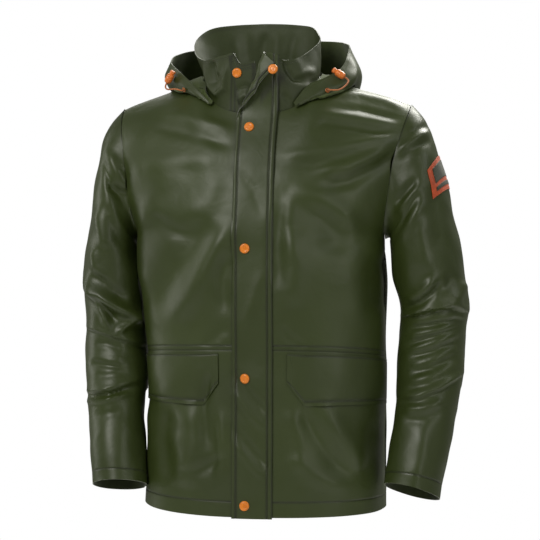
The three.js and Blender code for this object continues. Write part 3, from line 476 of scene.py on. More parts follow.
def storm_flap_point(x, s):
    """The storm flap over the fronts. Past the fold line its corner is rolled over outwards."""
    fx, fs = x - FOLD_FOOT[0], s - FOLD_FOOT[1]
    along = fx * fold_way[0] + fs * fold_way[1]
    beyond = np.maximum(fx * fold_way[1] - fs * fold_way[0], 0)
    angle = np.minimum(beyond / FOLD_RADIUS, FOLD_ANGLE)
    straight = np.maximum(beyond - FOLD_RADIUS * FOLD_ANGLE, 0)
    in_plane = FOLD_RADIUS * np.sin(angle) + straight * np.cos(angle)
    height = FOLD_RADIUS * (1 - np.cos(angle)) + straight * np.sin(angle)
    rolled = beyond > 0
    px = np.where(rolled, FOLD_FOOT[0] + fold_way[0] * along + fold_way[1] * in_plane, x)
    ps = np.where(rolled, FOLD_FOOT[1] + fold_way[1] * along - fold_way[0] * in_plane, s)
    return laid_front(px, ps, flap_lift(s) + np.where(rolled, height, 0))[0]


# Creases, placed in the coat's own sizes

# A crease starts and ends softly over this share of its line. A stepped one tucks in below its line
CREASE_FADE = (-0.05, 0.25)
TUCK_DEPTH = 0.55
TUCK_WIDTH = 0.7
STEP_TURN = 4.6
# Each row: rise (a trough below zero), width, then the points of its line by x and z
FRONT_CREASES = [
    (3.8, 6, [(120, -34), (165, -36), (210, -48), (249, -64)]),
    (-4, 5, [(104, -60), (170, -62), (240, -80)]),
    (4.2, 6, [(96, -72), (160, -78), (238, -92)]),
    (-3.8, 6, [(88, -84), (150, -92), (228, -106)]),
    (5, 8, [(44, -143), (103, -139), (172, -122), (237, -105)]),
    (-4.2, 8, [(60, -160), (110, -157), (180, -140), (236, -121)]),
    (8, 12, [(100, -172), (150, -164), (195, -140), (238, -112)]),
    (-7.5, 12, [(110, -196), (160, -186), (205, -160), (238, -134)]),
    (6.9, 16, [(60, -196), (110, -214), (150, -246), (170, -290)]),
    (-7.5, 18, [(84, -232), (124, -250), (140, -280), (124, -316)]),
    (6.4, 22, [(70, -260), (72, -330), (64, -400)]),
    (4.2, 8, [(-172, -62), (-130, -72), (-84, -86), (-38, -100)]),
    (-4.8, 9, [(-184, -88), (-130, -98), (-84, -112), (-40, -128)]),
    (3.2, 16, [(-60, -150), (-120, -146), (-200, -160)]),
    (11, 18, [(-34, -250), (-64, -308), (-102, -372), (-140, -425)]),
    (-10, 22, [(-76, -244), (-118, -306), (-156, -366), (-176, -420)]),
    (5.1, 18, [(-196, -220), (-206, -290), (-200, -370)]),
    (-4.8, 9, [(-180, -236), (-150, -262), (-112, -282)]),
    (-6.4, 12, [(-40, -300), (-52, -350), (-46, -410)]),
    (-10.4, 12, [(84, -552), (100, -592), (120, -625), (140, -655), (156, -690)]),
    (9.6, 15, [(112, -552), (132, -592), (156, -630), (178, -668)]),
    (4.6, 14, [(60, -560), (76, -610), (84, -670)]),
    (-1.8, 8, [(-42, -424), (-58, -446), (-90, -462)]),
    (1.5, 8, [(-42, -440), (-66, -462)]),
    (-3.1, 8, [(44, -424), (60, -446), (92, -464)]),
    (-10.4, 13, [(-150, -560), (-160, -620), (-146, -700)]),
    (10.4, 15, [(-118, -552), (-104, -620), (-112, -700)]),
    (-8, 9, [(-74, -500), (-84, -560), (-80, -640)]),
    (6.4, 10, [(-56, -560), (-50, -620), (-60, -690)]),
    (-4.6, 12, [(-60, -560), (-66, -620), (-58, -690)]),
    (-6.4, 14, [(206, -300), (198, -350), (202, -410)]),
    (5.8, 16, [(168, -290), (160, -350), (168, -430)]),
    (-4.2, 7, [(-32, -500), (-4, -540), (26, -574)]),
    (3.8, 7, [(-34, -530), (-6, -568), (24, -600)]),
    (-4, 7, [(-32, -590), (0, -630), (28, -664)]),
    (3.5, 7, [(-32, -616), (-4, -652), (22, -680)]),
    (-1.2, 8, [(-30, -160), (0, -200), (20, -250)]),
    (1.9, 9, [(20, -330), (0, -390), (-20, -440)]),
    (3, 20, [(-60, -170), (-80, -220), (-120, -250)]),
    (-3, 18, [(-96, -150), (-130, -200), (-176, -226)]),
    (5, 14, [(70, -200), (60, -260), (66, -330)]),
    (-5, 12, [(46, -220), (42, -290), (46, -370)]),
    (6, 14, [(-130, -600), (-118, -650), (-124, -700)]),
    (-4, 10, [(-40, -640), (-90, -668), (-150, -676)]),
    (4, 12, [(-196, -560), (-190, -630), (-196, -700)]),
    (5, 14, [(60, -640), (110, -676), (160, -700)]),
    (-5, 14, [(190, -580), (196, -640), (186, -700)]),
]
BACK_CREASES = [
    (8, 14, [(228, -250), (160, -230), (80, -238), (0, -250)]),
    (-8, 14, [(228, -290), (150, -272), (70, -282)]),
    (6.9, 14, [(-228, -246), (-150, -236), (-80, -246)]),
    (-8, 14, [(-228, -292), (-140, -276), (-60, -290)]),
    (-8.6, 20, [(120, -330), (110, -440), (124, -560), (118, -700)]),
    (8.6, 24, [(70, -340), (60, -460), (72, -600), (66, -720)]),
    (-8.6, 22, [(-112, -340), (-122, -450), (-110, -580), (-118, -710)]),
    (8, 24, [(-64, -350), (-72, -470), (-60, -600), (-66, -720)]),
    (-6.4, 18, [(10, -380), (0, -500), (8, -660)]),
    (6.4, 13, [(244, -92), (190, -112), (140, -150), (120, -190)]),
    (6.4, 13, [(-244, -96), (-190, -116), (-140, -152), (-120, -192)]),
    (-5.8, 12, [(236, -130), (180, -160), (130, -210)]),
    (-5.8, 12, [(-236, -134), (-180, -164), (-130, -212)]),
]
SLEEVE_LEFT_FRONT = [
    (-6, 6, [(312, -350), (292, -374), (272, -390), (238, -404)]),
    (5.4, 7, [(298, -346), (276, -370), (244, -388)]),
    (5.4, 9, [(346, -352), (336, -374), (322, -390)]),
    (-3.9, 7, [(326, -338), (318, -360), (300, -378)]),
    (-4.8, 5, [(244, -432), (290, -426), (330, -418), (352, -424)]),
    (3.2, 6, [(242, -446), (290, -438), (340, -426)]),
    (-3.4, 5, [(246, -460), (300, -442), (344, -424)]),
    (2.8, 6, [(248, -470), (300, -454), (342, -436)]),
    (-3.2, 5, [(250, -480), (290, -470), (338, -452)]),
    (2.6, 7, [(252, -494), (296, -482), (336, -464)]),
    (-3, 6, [(254, -508), (290, -498), (332, -478)]),
    (2.4, 7, [(250, -522), (292, -512), (334, -490)]),
    (-2.4, 6, [(242, -534), (280, -526), (322, -508)]),
    (4.2, 7, [(240, -566), (280, -564), (318, -550)]),
    (-3, 8, [(240, -582), (276, -582), (310, -570)]),
    (-4.5, 7, [(228, -224), (246, -204), (268, -180)]),
    (4.2, 8, [(230, -242), (250, -220), (276, -192)]),
    (-4.8, 7, [(231, -272), (248, -240), (272, -196)]),
    (3.9, 9, [(234, -290), (254, -258), (280, -214)]),
    (4.4, 6, [(230, -137), (256, -119), (284, -99)]),
    (-3.2, 6, [(236, -148), (260, -132), (286, -114)]),
    (-2.6, 5, [(234, -119), (262, -101), (286, -84)]),
    (-3, 12, [(292, -190), (302, -250), (308, -310)]),
    (3.3, 14, [(268, -250), (276, -300), (284, -340)]),
    (3.6, 14, [(284, -590), (276, -650), (262, -715)]),
]
SLEEVE_LEFT_FRONT_STEPS = [
    (10, 13, [(234, -415), (262, -410), (290, -402), (324, -396), (354, -408)]),
    (7.2, 12, [(230, -549), (271, -548), (309, -531), (346, -506)]),
]
SLEEVE_RIGHT_FRONT = [
    (14, 10, [(-316, -342), (-285, -374), (-253, -397), (-214, -420), (-196, -428)]),
    (-8.5, 8, [(-292, -376), (-265, -404), (-248, -424)]),
    (7.5, 6, [(-306, -358), (-287, -382), (-271, -411), (-262, -442)]),
    (6, 6, [(-216, -414), (-236, -430), (-251, -444)]),
    (-5, 9, [(-292, -334), (-262, -364), (-230, -386)]),
    (5, 9, [(-292, -292), (-286, -326), (-268, -354)]),
    (-2.6, 5, [(-292, -460), (-268, -460), (-238, -470)]),
    (1.8, 8, [(-302, -482), (-266, -486), (-232, -490)]),
    (-3.2, 5, [(-300, -492), (-266, -497), (-232, -501)]),
    (-1.8, 6, [(-286, -516), (-256, -514), (-228, -508)]),
    (5, 5, [(-310, -561), (-266, -556), (-220, -544)]),
    (-3.6, 5, [(-300, -552), (-262, -548), (-224, -536)]),
    (-2, 8, [(-292, -578), (-262, -580), (-230, -572)]),
    (-4.8, 8, [(-282, -136), (-258, -186), (-226, -230)]),
    (4.8, 9, [(-268, -128), (-244, -172), (-224, -204)]),
    (-4.2, 7, [(-266, -188), (-244, -199), (-224, -206)]),
    (3.6, 10, [(-290, -226), (-272, -280), (-262, -300)]),
    (-3.2, 9, [(-270, -216), (-252, -262), (-238, -300)]),
    (1.4, 20, [(-264, -600), (-250, -655), (-238, -712)]),
]
SLEEVE_RIGHT_FRONT_STEPS = [
    (7.5, 12, [(-318, -433), (-283, -441), (-244, -454), (-198, -470)]),
    (6.5, 12, [(-314, -546), (-292, -545), (-257, -540), (-202, -523)]),
]
SLEEVE_LEFT_BACK = [
    (-5.4, 7, [(346, -362), (304, -350), (262, -356), (234, -370)]),
    (5.4, 8, [(346, -380), (312, -370), (270, -368), (236, -384)]),
    (-4.8, 6, [(348, -432), (306, -422), (256, -428)]),
    (4.5, 7, [(346, -450), (304, -442), (250, -448)]),
    (-4.8, 6, [(344, -470), (304, -464), (250, -470)]),
    (3.9, 7, [(342, -490), (300, -486), (250, -492)]),
    (3.6, 8, [(336, -566), (290, -576), (244, -572)]),
    (4.5, 10, [(232, -176), (256, -212), (292, -236)]),
    (-4.5, 9, [(230, -210), (258, -242), (298, -262)]),
]
SLEEVE_LEFT_BACK_STEPS = [
    (7.2, 13, [(232, -404), (266, -394), (308, -396), (352, -410)]),
    (6.6, 12, [(230, -546), (262, -552), (300, -548), (342, -530)]),
]
SLEEVE_RIGHT_BACK = [
    (-5.4, 7, [(-316, -356), (-278, -346), (-240, -352), (-210, -366)]),
    (5.4, 8, [(-318, -374), (-284, -364), (-248, -364), (-212, -380)]),
    (-4.8, 6, [(-320, -428), (-280, -418), (-232, -424)]),
    (4.5, 7, [(-318, -446), (-276, -438), (-226, -444)]),
    (-4.8, 6, [(-316, -466), (-276, -460), (-226, -466)]),
    (3.9, 7, [(-314, -486), (-272, -482), (-226, -488)]),
    (3.6, 8, [(-306, -562), (-262, -572), (-218, -568)]),
    (4.5, 10, [(-228, -174), (-252, -208), (-286, -232)]),
    (-4.5, 9, [(-226, -208), (-254, -238), (-290, -258)]),
]
SLEEVE_RIGHT_BACK_STEPS = [
    (7.2, 13, [(-320, -408), (-282, -394), (-246, -392), (-208, -404)]),
    (6.6, 12, [(-312, -530), (-270, -546), (-236, -548), (-200, -540)]),
]
HOOD_CREASES = [
    (5.4, 12, [(-150, -60), (-90, -96), (0, -112), (90, -98), (150, -60)]),
    (-4.8, 12, [(-164, -36), (-96, -66), (-4, -78), (96, -68), (160, -38)]),
    (4.2, 12, [(-160, -10), (-90, -34), (0, -44), (90, -36), (150, -12)]),
    (-3.6, 12, [(-130, 22), (-60, 4), (0, -2), (70, 4), (130, 20)]),
]
COLLAR_FRONT = [
    (6, 5, [(-102, 24), (-88, -18), (-73, -36), (-58, -26), (-54, 16)]),
    (-6, 6, [(-82, 22), (-75, -12), (-68, 2)]),
    (-4.5, 6, [(-122, 26), (-110, -17), (-88, -52)]),
    (3.6, 6, [(-132, 10), (-122, -24), (-104, -52)]),
    (3.6, 6, [(-96, -44), (-70, -64), (-50, -72)]),
    (-5.5, 5, [(42, 26), (50, 2), (59, -12), (78, -15)]),
    (2.6, 7, [(58, 28), (70, 0), (94, 8)]),
    (-4, 5, [(40, -34), (54, -54), (70, -72)]),
    (2, 8, [(72, -16), (84, -34), (98, -52)]),
    (-2, 8, [(88, -6), (100, -24), (112, -40)]),
]
# Painted shadow of the folded corner of the storm flap on the cloth beside it: share, width, line
CORNER_SHADE = [(0.55, 7, [(52, 6), (46, -2), (14, -36), (-10, -63), (-16, -70)])]
TAB_CREASES = [
    (3.2, 6, [(-38, -50), (-22, -40), (-6, -48)]),
    (-2.4, 5, [(-36, -30), (-20, -26), (-6, -34)]),
    (2.4, 7, [(-34, -74), (-20, -66), (-6, -76)]),
]
COLLAR_BACK = [
    (3.1, 9, [(-70, 84), (-62, 40), (-56, 6)]),
    (-3.1, 9, [(-48, 90), (-44, 50), (-38, 10)]),
    (3.4, 9, [(-12, 88), (-20, 50), (-16, 16)]),
    (-3.4, 9, [(10, 90), (6, 50), (14, 16)]),
    (2.9, 9, [(40, 86), (32, 46), (38, 12)]),
]


def crease_field(table, x, z, stepped=False):
    """Height of all creases of a table at places x, z. Each fades towards both ends of its line.

    A soft crease is the same on both sides. A stepped one bulges above its line and tucks in below it."""
    total = np.zeros_like(x)
    for rise, width, line in table:
        line = np.array(line, float)
        if line[-1, 0] < line[0, 0]:
            line = line[::-1]
        steps = np.linalg.norm(np.diff(line, axis=0), axis=-1)
        starts = np.concatenate([[0], np.cumsum(steps)])
        best = np.full(x.shape, np.inf)
        where = np.zeros_like(x)
        above = np.zeros_like(x)
        for k in range(len(steps)):
            way = (line[k + 1] - line[k]) / steps[k]
            dx, dz = x - line[k, 0], z - line[k, 1]
            t = np.clip(dx * way[0] + dz * way[1], 0, steps[k])
            gap = np.hypot(dx - way[0] * t, dz - way[1] * t)
            nearer = gap < best
            where = np.where(nearer, starts[k] + t, where)
            above = np.where(nearer, way[0] * dz - way[1] * dx, above)
            best = np.minimum(best, gap)
        share = where / starts[-1]
        fade = smooth(*CREASE_FADE, share) * smooth(*CREASE_FADE, 1 - share)
        if stepped:
            upper = np.exp(-best / width)
            lower = -TUCK_DEPTH * np.exp(-best / (TUCK_WIDTH * width))
            total += rise * fade * mix(lower, upper, smooth(-STEP_TURN, STEP_TURN, above))
        else:
            total += rise * fade * bell(best, width)
    return total


# Slow waves of the cloth: amplitude, wavelength, way and phase
WAVES = [(0.55, 150, (0.8, 0.2, 0.55), 0.4), (0.5, 118, (-0.5, 0.4, 0.75), 2.1),
         (0.4, 83, (0.35, -0.6, 0.7), 4.0), (0.3, 61, (0.9, 0.3, -0.3), 1.2),
         (0.25, 47, (-0.2, 0.8, 0.55), 5.2)]


def waves(points, fineness=1.0, strength=1.0):
    total = np.zeros(points.shape[:-1])
    for size, length, way, phase in WAVES:
        total += size * np.sin(2 * math.pi * (points * fineness @ np.array(way)) / length + phase)
    return total * strength


# Grids of cloth points

# Painted shade: its depth and width along stitched lines, and its depth along sewn edges
LINE_SHADE = 0.62
LINE_WIDTH = 1.7
EDGE_SHADE = 0.35


class Surface:
    """A grid of points over the parameters a and b, with outward normals and a painted shade at each point.
    """

    def __init__(self, a, b, point_at, turn, closed=False):
        self.a, self.b = np.asarray(a, float), np.asarray(b, float)
        self.turn, self.closed = turn, closed
        ga, gb = (g.ravel() for g in np.meshgrid(self.a, self.b, indexing="ij"))
        self.shade = np.ones((len(self.a), len(self.b)))
        self.move_to(point_at(ga, gb).reshape(*self.shade.shape, 3))

    def move_to(self, points):
        self.p = points
        if self.closed:
            across = np.roll(points, -1, axis=0) - np.roll(points, 1, axis=0)
        else:
            across = np.gradient(points, axis=0)
        self.n = unit(np.cross(across, np.gradient(points, axis=1))) * self.turn

    def lift(self, height):
        self.move_to(self.p + self.n * height[..., None])

    def creases(self, table, stepped=False):
        return crease_field(table, self.p[..., 0], self.p[..., 2], stepped)

    def paint_shade(self, distance, depth=LINE_SHADE, width=LINE_WIDTH):
        """Painted shade: the cloth is darker along a stitched line or a sewn edge, where shade would fall."""
        self.shade = self.shade * (1 - depth * bell(distance, width))

    def at(self, a, b):
        """Points and normals between the grid's own, and round the seam of a closed grid."""
        a, b = (np.asarray(v, float) for v in np.broadcast_arrays(a, b))
        grid_a, points, normals = self.a, self.p, self.n
        if self.closed:
            grid_a = np.append(grid_a, 1.0)
            points, normals = (np.concatenate([g, g[:1]]) for g in (points, normals))
        fa = np.interp(a, grid_a, np.arange(len(grid_a)))
        fb = np.interp(b, self.b, np.arange(len(self.b)))
        i = np.minimum(fa.astype(int), len(grid_a) - 2)
        j = np.minimum(fb.astype(int), len(self.b) - 2)
        s, t = (fa - i)[:, None], (fb - j)[:, None]

        def blend(g):
            return mix(mix(g[i, j], g[i + 1, j], s), mix(g[i, j + 1], g[i + 1, j + 1], s), t)

        return blend(points), unit(blend(normals))

    def area(self):
        """Area of the cloth in square metres."""
        p = self.p * MM
        if self.closed:
            p = np.concatenate([p, p[:1]])
        halves = (np.cross(p[1:, :-1] - p[:-1, :-1], p[:-1, 1:] - p[:-1, :-1]),
                  np.cross(p[1:, :-1] - p[1:, 1:], p[:-1, 1:] - p[1:, 1:]))
        return float(np.sum(sum(np.linalg.norm(half, axis=-1) for half in halves)) / 2)


NEXT_TO_LINE = (-3.2, -1.6, -0.7, 0, 0.7, 1.6, 3.2)
NEXT_TO_FLAP_LINE = (-2.2, -1.4, -0.7, 0, 0.7, 1.4, 2.2)
NEXT_TO_POCKET_LINE = (-1.6, -0.7, 0, 0.7, 1.6)
LEAST_STOP = 1.3


def stops(low, high, step, lines=(), spread=NEXT_TO_LINE):
    """Even steps from low to high, with closer ones round each line."""
    even = np.linspace(low, high, max(2, round((high - low) / step) + 1))
    close = [line + d for line in lines for d in spread if low < line + d < high]
    kept = [v for v in even[1:-1] if all(abs(v - c) > LEAST_STOP for c in close)]
    return np.array(sorted([low, high, *kept, *close]))


# Materials


def scaled(colour, share):
    return tuple(min(c * share, 1) for c in colour)


def shades(colour, *steps):
    """Stops of a ramp: at each place the colour times a share."""
    return [(place, scaled(colour, share)) for place, share in steps]


def greys(*steps):
    return shades((1, 1, 1), *steps)


class Paint:
    """A material and the textures, ramps and bumps that make its look."""

    def __init__(self, name):
        self.material = bpy.data.materials.new(name)
        self.material.use_nodes = True
        self.nodes, self.links = self.material.node_tree.nodes, self.material.node_tree.links
        self.shader = next(node for node in self.nodes if node.type == "BSDF_PRINCIPLED")
        self.places = self.nodes.new("ShaderNodeTexCoord").outputs["Object"]
        self.relief = None

    def texture(self, kind, **values):
        node = self.nodes.new("ShaderNodeTex" + kind)
        for label, value in values.items():
            node.inputs[label.capitalize()].default_value = value
        self.links.new(self.places, node.inputs["Vector"])
        return node

    def noise(self, scale, detail=3.0, roughness=0.5, distortion=0.0):
        node = self.texture("Noise", scale=scale, detail=detail, roughness=roughness, distortion=distortion)
        return node.outputs["Fac"]

    def bands(self, direction, scale, distortion):
        node = self.texture("Wave", scale=scale, distortion=distortion)
        node.bands_direction = direction
        return node.outputs["Fac"]

    def ramp(self, source, steps):
        node = self.nodes.new("ShaderNodeValToRGB")
        elements = node.color_ramp.elements
        while len(elements) < len(steps):
            elements.new(0.5)
        for element, (position, value) in zip(elements, steps):
            element.position = position
            element.color = (*value, 1)
        self.links.new(source, node.inputs["Fac"])
        return node.outputs["Color"]

    def bump(self, source, distance, strength):
        """One more layer of relief on those before it."""
        node = self.nodes.new("ShaderNodeBump")
        node.inputs["Distance"].default_value = distance
        node.inputs["Strength"].default_value = strength
        self.links.new(source, node.inputs["Height"])
        if self.relief is not None:
            self.links.new(self.relief, node.inputs["Normal"])
        self.relief = node.outputs["Normal"]

    def finish(self, colour, roughness, **values):
        """Sets the shader's inputs, each to a value or to what another node gives."""
        inputs = {"base_color": colour, "roughness": roughness, "normal": self.relief, **values}
        for label, value in inputs.items():
            entry = self.shader.inputs[label.replace("_", " ").title().replace("Ior", "IOR")]
            if isinstance(value, bpy.types.NodeSocket):
                self.links.new(value, entry)
            else:
                entry.default_value = value
        return self.material


def coated(name, colour, rough, wrinkle=1.0, coat=0.1):
    """Coated cloth: soft gloss, a fine pebbled grain, small wrinkles, faint random changes of tone, and the
    painted shade of each point.
    """
    paint = Paint(name)
    patches = paint.noise(scale=7.0, roughness=0.55)
    tint = paint.ramp(patches, shades(colour, (0.3, 0.88), (0.5, 1), (0.72, 1.12)))
    # The colour is multiplied by each point's painted shade
    shade = paint.nodes.new("ShaderNodeAttribute")
    shade.attribute_name = "shade"
    shaded = paint.nodes.new("ShaderNodeVectorMath")
    shaded.operation = "MULTIPLY"
    paint.links.new(tint, shaded.inputs[0])
    paint.links.new(shade.outputs["Fac"], shaded.inputs[1])
    gloss_noise = paint.noise(scale=22.0, detail=4.0, roughness=0.6)
    gloss = paint.ramp(gloss_noise, greys((0.3, rough - 0.05), (0.7, rough + 0.06)))
    broad = paint.noise(scale=16.0, detail=2.0, roughness=0.45, distortion=0.6)
    paint.bump(broad, distance=0.004 * wrinkle, strength=0.35)
    paint.bump(paint.noise(scale=52.0, distortion=0.9), distance=0.0011 * wrinkle, strength=0.35)
    grain = paint.texture("Voronoi", scale=1100).outputs["Distance"]
    paint.bump(grain, distance=0.00012, strength=0.3)
    return paint.finish(shaded.outputs["Vector"], gloss, coat_weight=coat, coat_roughness=0.3,
                        specular_ior_level=0.5)


def knitted(name, colour, rough=0.8):
    """Knitted backing on the inside of the cloth: fine ribs both ways and no gloss."""
    paint = Paint(name)
    mottle = paint.noise(scale=60.0, detail=4.0, roughness=0.6)
    tint = paint.ramp(mottle, shades(colour, (0.3, 0.8), (0.7, 1.2)))
    for direction in ("X", "Z"):
        ribs = paint.bands(direction, scale=260, distortion=1.5)
        paint.bump(ribs, distance=0.00025, strength=0.4)
    return paint.finish(tint, rough, sheen_weight=0.2)


def moulded(name, colour, rough, metallic=0.0, coat=0.4):
    """Moulded or painted fittings: small dents and faint scratches."""
    paint = Paint(name)
    tint = paint.ramp(paint.noise(scale=180.0), shades(colour, (0.35, 0.85), (0.65, 1.15)))
    scratches = paint.noise(scale=700.0, detail=4.0, roughness=0.6, distortion=1.5)
    gloss = paint.ramp(scratches, greys((0.35, rough - 0.06), (0.7, rough + 0.12)))
    paint.bump(scratches, distance=0.00008, strength=0.25)
    return paint.finish(tint, gloss, metallic=metallic, coat_weight=coat, coat_roughness=0.15)


def braided(name, colour):
    """Braided cord: slanting strands and soft fuzz."""
    paint = Paint(name)
    strands = paint.bands("DIAGONAL", scale=420, distortion=2.0)
    tint = paint.ramp(strands, shades(colour, (0.2, 0.55), (0.7, 1.2)))
    paint.bump(strands, distance=0.0005, strength=0.6)
    return paint.finish(tint, 0.75, sheen_weight=0.3)


CLOTH_COLOUR = (0.037, 0.053, 0.0102)
cloth = coated("coated_cloth", CLOTH_COLOUR, 0.46)
sleeve_cloth = coated("coated_cloth_sleeves", scaled(CLOTH_COLOUR, 0.9), 0.42, wrinkle=1.3, coat=0.12)
flap_cloth = coated("coated_cloth_flaps", scaled(CLOTH_COLOUR, 0.95), 0.46)
# Darker copy of the cloth for the collar and the chin tab: painted shade
shaded_collar_cloth = coated("shaded_collar_cloth", scaled(CLOTH_COLOUR, 0.76), 0.56, wrinkle=1.2, coat=0.0)
hood_cloth = coated("coated_cloth_hood", scaled(CLOTH_COLOUR, 0.9), 0.44, wrinkle=1.4)
backing = knitted("knitted_backing", scaled(CLOTH_COLOUR, 0.75))
# Lighter copy of the backing for the hood's inside, which lies in shade: painted light
lit_hood_backing = knitted("lit_hood_backing", scaled(CLOTH_COLOUR, 1.5))
# Darker copy of the cloth for the collar's inside: painted shade
shaded_collar_backing = coated("shaded_collar_backing", scaled(CLOTH_COLOUR, 0.84), 0.62, wrinkle=1.2, coat=0.0)
thread = knitted("stitching_thread", scaled(CLOTH_COLOUR, 1.25), 0.6)
snap_orange = moulded("snap_cap", (0.92, 0.25, 0.02), 0.3, coat=0.3)
lock_orange = moulded("cord_lock", (0.8, 0.2, 0.03), 0.35)
eyelet_paint = moulded("eyelet", (0.45, 0.14, 0.03), 0.35, metallic=0.3)
cord_braid = braided("cord", (0.62, 0.2, 0.06))
# Light colour on the cut edges of the collar, storm flap and chin tab: a painted highlight
edge_highlight = coated("painted_edge_highlight", (0.22, 0.23, 0.2), 0.5, wrinkle=0.3)
patch_cloth = knitted("patch_weave", (0.55, 0.075, 0.014), 0.65)
patch_dark = knitted("patch_block", (0.024, 0.032, 0.012), 0.7)

# Pieces: cloth shells and their stitches

SHARP_EDGE = math.radians(50)


def mesh_piece(name, verts, faces, materials, face_materials=None, sharp=None, shade=None):
    mesh = bpy.data.meshes.new(name)
    mesh.from_pydata((np.asarray(verts) * MM).tolist(), [], faces)
    for material in materials:
        mesh.materials.append(material)
    if face_materials is not None:
        mesh.polygons.foreach_set("material_index", np.asarray(face_materials, dtype=np.int32))
    mesh.polygons.foreach_set("use_smooth", np.full(len(mesh.polygons), True))
    # Each point's painted shade is kept in the attribute shade
    if shade is None:
        shade = np.ones(len(verts))
    tone = mesh.attributes.new("shade", "FLOAT", "POINT")
    tone.data.foreach_set("value", shade.astype(np.float32))
    if sharp is not None:
        mesh.set_sharp_from_angle(angle=sharp)
    mesh.update()
    piece = bpy.data.objects.new(name, mesh)
    bpy.context.scene.collection.objects.link(piece)
    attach(piece, "root")
    return piece


def shell(name, surface, wall, outer, inner, edge_normals=None, edge=None):
    """A thin closed wall: the surface, the same moved in, and its edges."""
    p, n = surface.p, surface.n.copy()
    if edge_normals is not None:
        edge_normals(n)
    columns, rows = p.shape[:2]
    verts = np.concatenate([p.reshape(-1, 3), (p - n * wall).reshape(-1, 3)])
    size = columns * rows
    faces, marks = [], []

    def quad(mark, *corners):
        faces.append(corners if surface.turn > 0 else corners[::-1])
        marks.append(mark)

    for i in range(columns if surface.closed else columns - 1):
        here, beside = i * rows, (i + 1) % columns * rows
        for j in range(rows - 1):
            a, b, c, d = here + j, beside + j, beside + j + 1, here + j + 1
            quad(0, a, b, c, d)
            quad(1, size + d, size + c, size + b, size + a)
        quad(2, here, size + here, size + beside, beside)
        last = rows - 1
        quad(2, here + last, beside + last, size + beside + last, size + here + last)
    if not surface.closed:
        end = (columns - 1) * rows
        for j in range(rows - 1):
            quad(2, j, j + 1, size + j + 1, size + j)
            quad(2, end + j, size + end + j, size + end + j + 1, end + j + 1)
    # The painted shade goes on both faces of the wall
    shade = np.tile(surface.shade.ravel(), 2)
    piece = mesh_piece(f"cloth_{name}", verts, faces, [outer, inner, edge or outer], marks, SHARP_EDGE, shade)
    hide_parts(name)
    return piece


STITCH_PITCH = 3.6
STITCH_LENGTH = 2.5
STITCH_RADIUS = 0.42
STITCH_SIDES = 5
# Rings of a stitch: its thickness and how far it stands off the cloth
STITCH_END = (0.45, -0.15)
STITCH_MIDDLE = (1.0, 0.12)
LINE_SAMPLES = 900


def stitching(name, surface, lines, material=thread, fine=1.0):
    """The stitches along lines through places a, b of the surface, as one piece."""
    verts, faces = [], []
    for a, b in lines:
        a, b = (np.asarray(v, float) for v in np.broadcast_arrays(a, b))
        places = np.arange(len(a))
        t = np.linspace(0, len(a) - 1, LINE_SAMPLES)
        p, n = surface.at(np.interp(t, places, a), np.interp(t, places, b))
        length = np.concatenate([[0], np.cumsum(np.linalg.norm(np.diff(p, axis=0), axis=-1))])
        count = int(length[-1] / (STITCH_PITCH * fine))
        middles = (np.arange(count) + 0.5) * length[-1] / max(count, 1)

        def along(values, distances, length=length):
            return np.stack([np.interp(distances, length, values[:, k]) for k in range(3)], -1)

        half = STITCH_LENGTH * fine / 2
        start, middle, end = (along(p, middles + d) for d in (-half, 0, half))
        normal = unit(along(n, middles))
        aside = unit(np.cross(normal, unit(end - start)))
        radius = STITCH_RADIUS * fine
        base = sum(len(v) for v in verts)
        for centre, (size, rise) in ((start, STITCH_END), (middle, STITCH_MIDDLE), (end, STITCH_END)):
            for turn in circle(STITCH_SIDES):
                verts.append(centre + normal * (rise + radius * size * math.sin(turn))
                             + aside * radius * size * math.cos(turn))
        for k in range(count):
            at = [base + step * count + k for step in range(3 * STITCH_SIDES)]
            for ring in (0, STITCH_SIDES):
                for side in range(STITCH_SIDES):
                    after = (side + 1) % STITCH_SIDES
                    faces.append((at[ring + side], at[ring + after], at[ring + STITCH_SIDES + after],
                                  at[ring + STITCH_SIDES + side]))
            faces.append(tuple(at[STITCH_SIDES - 1::-1]))
            faces.append(tuple(at[2 * STITCH_SIDES:]))
    piece = mesh_piece(name, np.concatenate(verts), faces, [material])
    return piece


def declare_sheet(surface, together):
    surface.area()


def sewn(name, surface, outer, inner, lines, edge_normals=None, edge=None):
    """A cloth with its stitches."""
    piece = shell(name, surface, WALL, outer, inner, edge_normals, edge)
    declare_sheet(surface, [stitching(f"stitches_{name}", surface, lines)])


# Round pieces

TURNED_SHARP = math.radians(60)


def ring_faces(rings, sides, looped=False):
    """Faces between rings of points, which are closed by flat ends or looped from last to first."""
    faces = []
    for i in range(rings - 1):
        for k in range(sides):
            j = (k + 1) % sides
            faces.append((i * sides + k, i * sides + j, (i + 1) * sides + j, (i + 1) * sides + k))
    last = (rings - 1) * sides
    if looped:
        return [tuple(v % last for v in face) for face in faces]
    return [*faces, tuple(range(sides))[::-1], tuple(range(last, last + sides))]


def tube(name, path, radius, material, sides=10):
    way = unit(np.gradient(path, axis=0))
    side = unit(np.cross(way, np.array([0.1, 0.2, 1.0])))
    up = np.cross(side, way)
    rings = [path + radius * (math.cos(t) * side + math.sin(t) * up) for t in circle(sides)]
    return mesh_piece(name, np.stack(rings, 1).reshape(-1, 3), ring_faces(len(path), sides), [material])


def turned(name, profile, seat, way, material, sides=40):
    """A profile of (radius, height) turned about the way at the seat."""
    way = unit(np.asarray(way, float))
    side = unit(np.cross(way, np.array([0.13, 0.31, 0.94])))
    up = np.cross(way, side)
    looped = profile[0] == profile[-1]
    verts = [seat + way * height + radius * (math.cos(t) * side + math.sin(t) * up)
             for radius, height in (profile[:-1] if looped else profile) for t in circle(sides)]
    faces = ring_faces(len(profile), sides, looped)
    return mesh_piece(name, np.array(verts), faces, [material], sharp=TURNED_SHARP)


# Hood cords with their eyelets and locks

CORD_STEPS = 48
LOCK_GAP = 0.35
